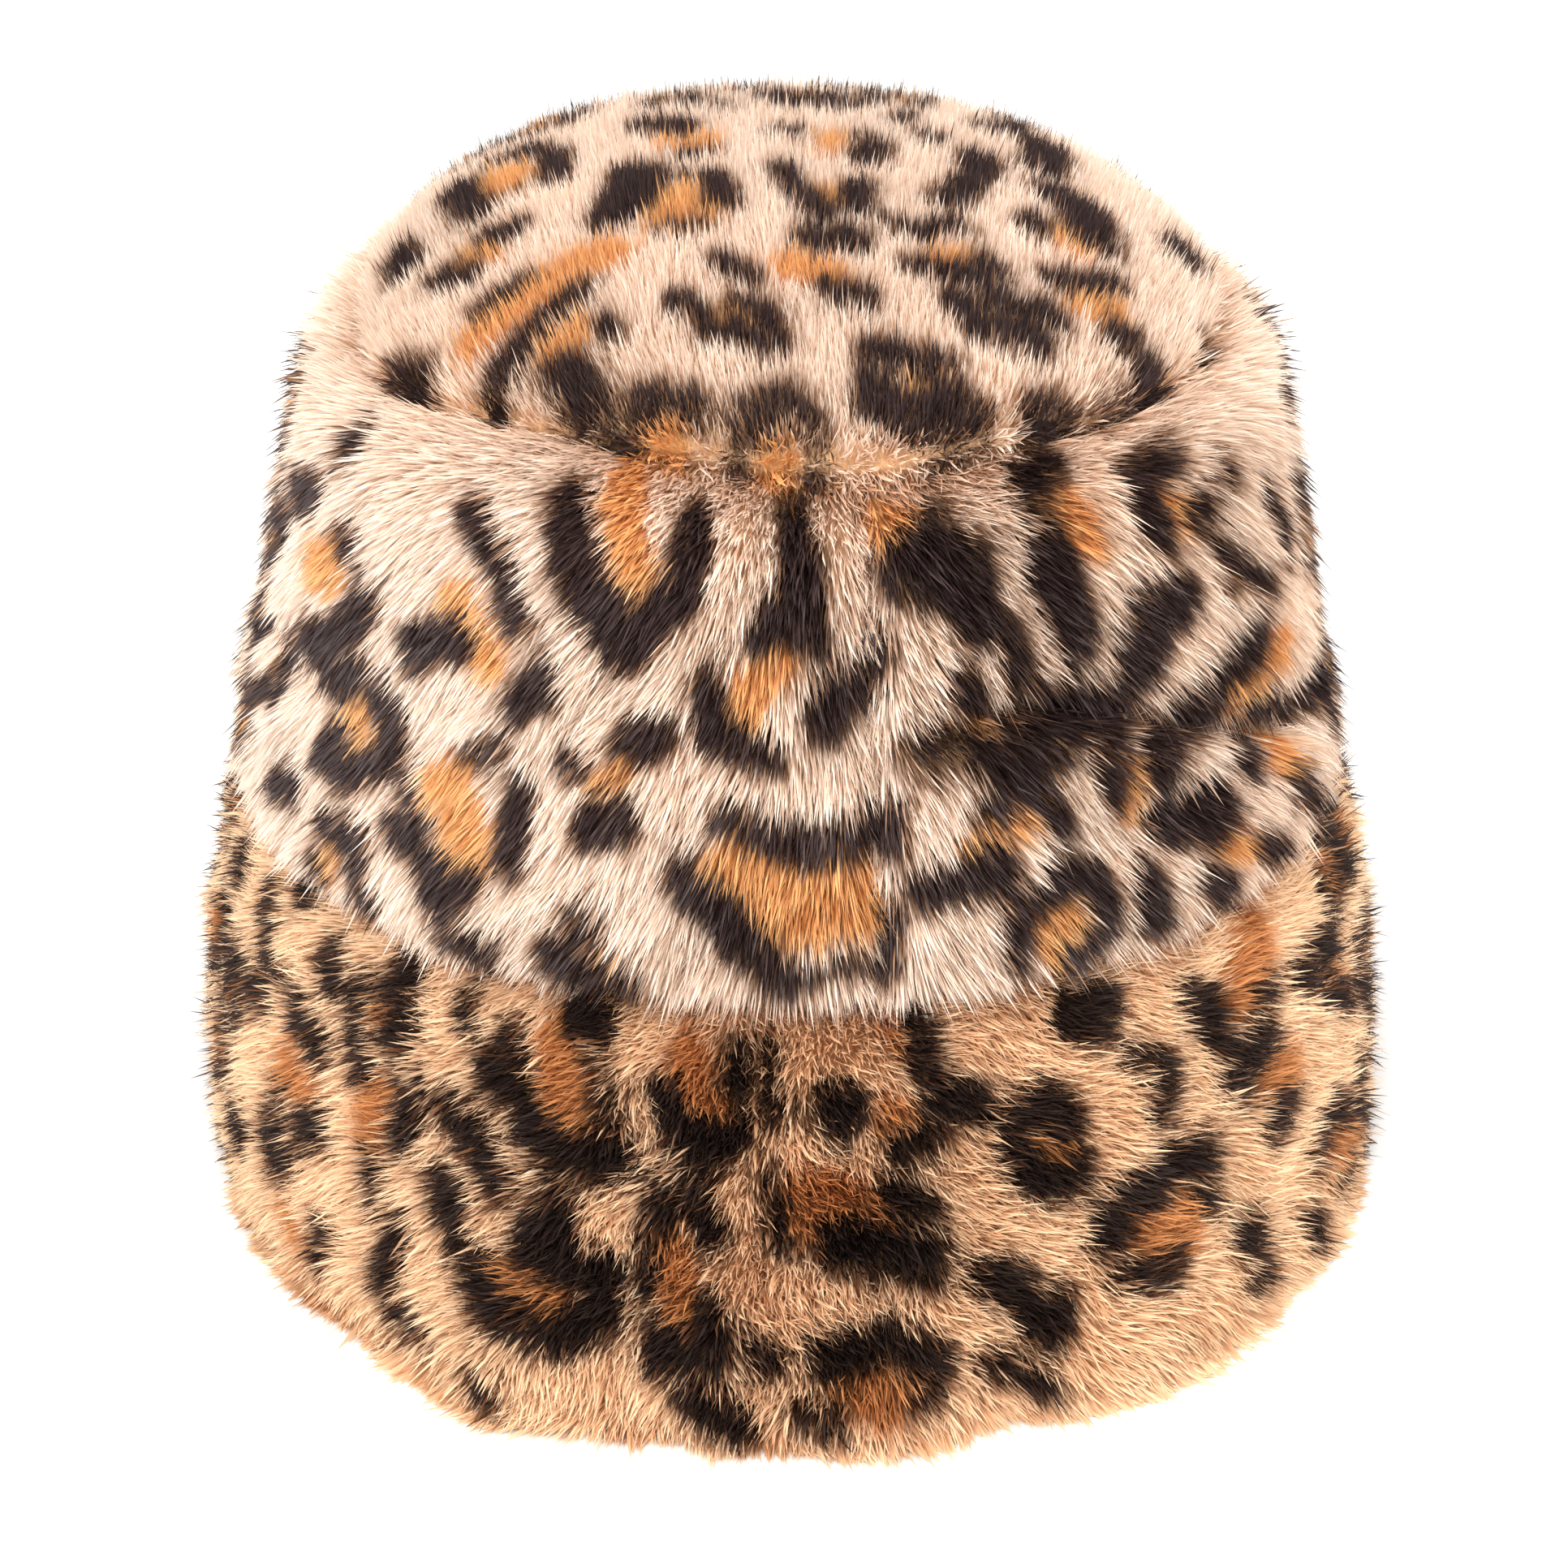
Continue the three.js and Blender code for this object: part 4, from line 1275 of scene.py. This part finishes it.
def undercoat_material(kind):
    """Undercoat of the same plush: short dense fibres that show as fine streaks between the hairs,
    with the print drawn darker than on the hairs, as painted shade down in the pile."""
    name = f"{kind} plush undercoat"
    if name in bpy.data.materials:
        return bpy.data.materials[name]
    dyes = bpy.context.scene.plush_hat.dyes
    brim = kind == "brim"
    cream = dyes.deep_and_shaded_brim_cream if brim else dyes.deep_and_shaded_cream
    tan, dark = (dyes.brim_tan, dyes.brim_dark) if brim else (dyes.tan, dyes.dark)
    material, shader = new_material(name, cream, 0.85, 0.2)
    tree = material.node_tree
    flat = add(tree, "ShaderNodeUVMap", uv_map="cloth_metres")
    # Fibre bundles are about 0.5 mm wide and 5 mm long
    stretched = add(
        tree, "ShaderNodeMapping", {"Vector": flat, "Scale": (2000.0, 200.0, 1.0)}
    )
    streaks = add(tree, "ShaderNodeTexNoise", {"Vector": stretched, "Scale": 1.0, "Detail": 3.0})
    dyed = rgba(cream)
    # The undercoat's marks are drawn a fifth darker than the hairs': painted shade down in the pile
    for layer, dye in (("tan_mm", tan), ("dark_mm", dark)):
        distance = add(tree, "ShaderNodeAttribute", attribute_name=layer)
        ragged = add(
            tree,
            "ShaderNodeMath",
            {0: (streaks, "Fac"), 1: 2.4, 2: (distance, "Fac")},
            operation="MULTIPLY_ADD",
        )
        inside = add(
            tree,
            "ShaderNodeMapRange",
            {"Value": ragged, "From Min": 2.0, "From Max": 0.4, "To Min": 0.0, "To Max": 1.0},
        )
        dyed = add(
            tree,
            "ShaderNodeMix",
            {"Factor": inside, "A": dyed, "B": rgba([c * 0.8 for c in dye])},
            data_type="RGBA",
        )
    # Down in the seams, under the overhangs and along the partings the undercoat is darkened: painted
    # shade. Near the brim's hem the same darkening comes in patches.
    crease = add(tree, "ShaderNodeAttribute", attribute_name="crease")
    dyed = add(
        tree,
        "ShaderNodeMix",
        {"Factor": (crease, "Fac"), "A": dyed, "B": rgba([c * 0.3 for c in tan])},
        data_type="RGBA",
    )
    level = add(
        tree,
        "ShaderNodeMapRange",
        {"Value": (streaks, "Fac"), "From Min": 0.3, "From Max": 0.7, "To Min": 0.7, "To Max": 1.1},
    )
    level = add(tree, "ShaderNodeCombineColor", {"Red": level, "Green": level, "Blue": level})
    streaked = add(
        tree,
        "ShaderNodeMix",
        {"Factor": 1.0, "A": dyed, "B": level},
        data_type="RGBA",
        blend_type="MULTIPLY",
    )
    tree.links.new(streaked.outputs[2], shader.inputs["Base Color"])
    bump = add(
        tree, "ShaderNodeBump", {"Height": (streaks, "Fac"), "Strength": 0.6, "Distance": 0.0006}
    )
    tree.links.new(bump.outputs[0], shader.inputs["Normal"])
    return material


def backing_material():
    """Polyester knit that the pile is set in: fine ribs of stitches, dull and a little fuzzy."""
    name = "knitted polyester backing"
    if name in bpy.data.materials:
        return bpy.data.materials[name]
    base = bpy.context.scene.plush_hat.dyes.backing
    material, shader = new_material(name, base, 0.9, 0.2, sheen=0.2)
    tree = material.node_tree
    flat = add(tree, "ShaderNodeUVMap", uv_map="cloth_metres")
    # Stitches are about 1.3 mm apart, drawn as coarse as they need to show
    ribs = add(
        tree,
        "ShaderNodeTexWave",
        {"Vector": flat, "Scale": 1 / (0.0013 * 2 * np.pi) * 2, "Distortion": 1.2, "Detail": 2.0},
        bands_direction="X",
    )
    rows = add(
        tree,
        "ShaderNodeTexWave",
        {"Vector": flat, "Scale": 1 / (0.0016 * 2 * np.pi) * 2, "Distortion": 1.5, "Detail": 1.0},
        bands_direction="Y",
    )
    knit = add(tree, "ShaderNodeMath", {0: (ribs, "Fac"), 1: (rows, "Fac")}, operation="MULTIPLY")
    shade = add(
        tree,
        "ShaderNodeMix",
        {"Factor": knit, "A": rgba([c * 0.72 for c in base]), "B": rgba(base)},
        data_type="RGBA",
    )
    tree.links.new(shade.outputs[2], shader.inputs["Base Color"])
    bump = add(tree, "ShaderNodeBump", {"Height": knit, "Strength": 0.7, "Distance": 0.0004})
    tree.links.new(bump.outputs[0], shader.inputs["Normal"])
    return material


def floor_material():
    """Matt white paper sweep: smooth, with faint mottling."""
    base = linear("#F6F5F3")
    material, shader = new_material("matt white paper", base, 0.9, 0.15)
    tree = material.node_tree
    place = add(tree, "ShaderNodeTexCoord")
    mottle = add(tree, "ShaderNodeTexNoise", {"Vector": (place, "Object"), "Scale": 3.0, "Detail": 2.0})
    shade = add(
        tree,
        "ShaderNodeMix",
        {"Factor": (mottle, "Fac"), "A": rgba(base), "B": rgba([c * 0.985 for c in base])},
        data_type="RGBA",
    )
    tree.links.new(shade.outputs[2], shader.inputs["Base Color"])
    return material


# The steps


def finish_piece(piece):
    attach(piece, "root")


class MakePelts(bpy.types.Operator):
    """Sews the five pelts: tip, two halves of the band and two halves of the brim"""

    bl_idname = "plush_hat.pelts"
    bl_label = "Pelts"

    def execute(self, context):
        settings = context.scene.plush_hat
        for node in PELTS:
            pelt = build_pelt(node, settings.shape, settings.pile)
            finish_piece(pelt)
            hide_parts(node)
        return {"FINISHED"}


class GrowPile(bpy.types.Operator):
    """Grows the printed pile on the five pelts"""

    bl_idname = "plush_hat.pile"
    bl_label = "Pile"

    def execute(self, context):
        hair = blade()
        tree, sockets = pile_tree()
        for number, node in enumerate(PELTS):
            piece = grow_pile(node, number + 1, tree, sockets)
            finish_piece(piece)
        bpy.data.objects.remove(hair)
        bpy.data.node_groups.remove(tree)
        return {"FINISHED"}


class SetStage(bpy.types.Operator):
    """Lays the floor and sets the lights and the camera at the photograph's angle"""

    bl_idname = "plush_hat.stage"
    bl_label = "Stage"

    def execute(self, context):
        scene = context.scene
        lay_floor()
        world = bpy.data.worlds.new("pale studio")
        scene.world = world
        world.use_nodes = True
        sky = world.node_tree.nodes["Background"]
        sky.inputs["Color"].default_value = (1.0, 1.0, 1.0, 1.0)
        sky.inputs["Strength"].default_value = 0.9
        for name, place, power, size in (
            ("key", (-0.7, -1.2, 1.5), 26.0, 1.2),
            ("fill", (0.9, -1.1, 1.0), 12.0, 1.4),
            ("top", (0.1, 0.3, 1.8), 14.0, 1.4),
        ):
            hang_light(scene, name, place, power, size)
        scene.view_settings.view_transform = "Standard"
        set_camera(scene)
        return {"FINISHED"}


def lay_floor():
    side = 3.0
    floor = mesh_from(
        "floor",
        [(-side, -side, 0), (side, -side, 0), (side, side, 0), (-side, side, 0)],
        [(0, 1, 2, 3)],
    )
    floor.data.materials.append(floor_material())
    return floor


def hang_light(scene, name, place, power, size):
    """A soft square light that looks at the middle of the hat."""
    light = bpy.data.lights.new(name, "AREA")
    light.energy, light.size = power, size
    lamp = bpy.data.objects.new(name, light)
    scene.collection.objects.link(lamp)
    lamp.location = place
    lamp.rotation_euler = look(MIDDLE + (0, 0, 0.08) - place)


def set_camera(scene):
    """The photograph looks 24.6 degrees down from about 0.7 m, with the middle of the hat 6 pixels
    right of the middle of the image."""
    tilt, distance, height, off = np.radians(24.6), 0.7, 0.042, 6 / PER_MM * MM
    camera = bpy.data.cameras.new("camera")
    camera.sensor_width = 36.0
    camera.lens = PER_MM * distance / MM / IMAGE_WIDTH * camera.sensor_width
    eye = bpy.data.objects.new("camera", camera)
    scene.collection.objects.link(eye)
    aim = np.array([MIDDLE[0] - off, MIDDLE[1], height])
    back = np.array([0, -np.cos(tilt), np.sin(tilt)])
    eye.location = aim + distance * back
    eye.rotation_euler = (np.pi / 2 - tilt, 0, 0)
    scene.camera = eye


def look(direction):
    """The rotation that turns a light or a camera, which look down, towards a direction."""
    return Vector(direction).to_track_quat("-Z", "Y").to_euler()


class PlushHatSettings(bpy.types.PropertyGroup):
    """All settings of the hat."""

    shape: PointerProperty(type=HatShape)
    pile: PointerProperty(type=HatPile)
    dyes: PointerProperty(type=HatPrint)


class PlushHatPanel(bpy.types.Panel):
    """Settings and steps of the plush hat"""

    bl_idname = "VIEW3D_PT_plush_hat"
    bl_label = "Plush hat"
    bl_space_type = "VIEW_3D"
    bl_region_type = "UI"
    bl_category = "Plush hat"

    def draw(self, context):
        settings = context.scene.plush_hat
        for group in (settings.shape, settings.pile, settings.dyes):
            box = self.layout.box()
            for name in group.__annotations__:
                box.prop(group, name)
        for operator in (MakePelts, GrowPile, SetStage):
            self.layout.operator(operator.bl_idname)


CLASSES = (HatShape, HatPile, HatPrint, PlushHatSettings, MakePelts, GrowPile, SetStage, PlushHatPanel)


def register():
    for cls in CLASSES:
        bpy.utils.register_class(cls)
    bpy.types.Scene.plush_hat = PointerProperty(type=PlushHatSettings)


def unregister():
    del bpy.types.Scene.plush_hat
    for cls in reversed(CLASSES):
        bpy.utils.unregister_class(cls)


def main():
    register()
    bpy.ops.plush_hat.pelts()
    bpy.ops.plush_hat.pile()
    bpy.ops.plush_hat.stage()


if __name__ == "__main__":
    main()
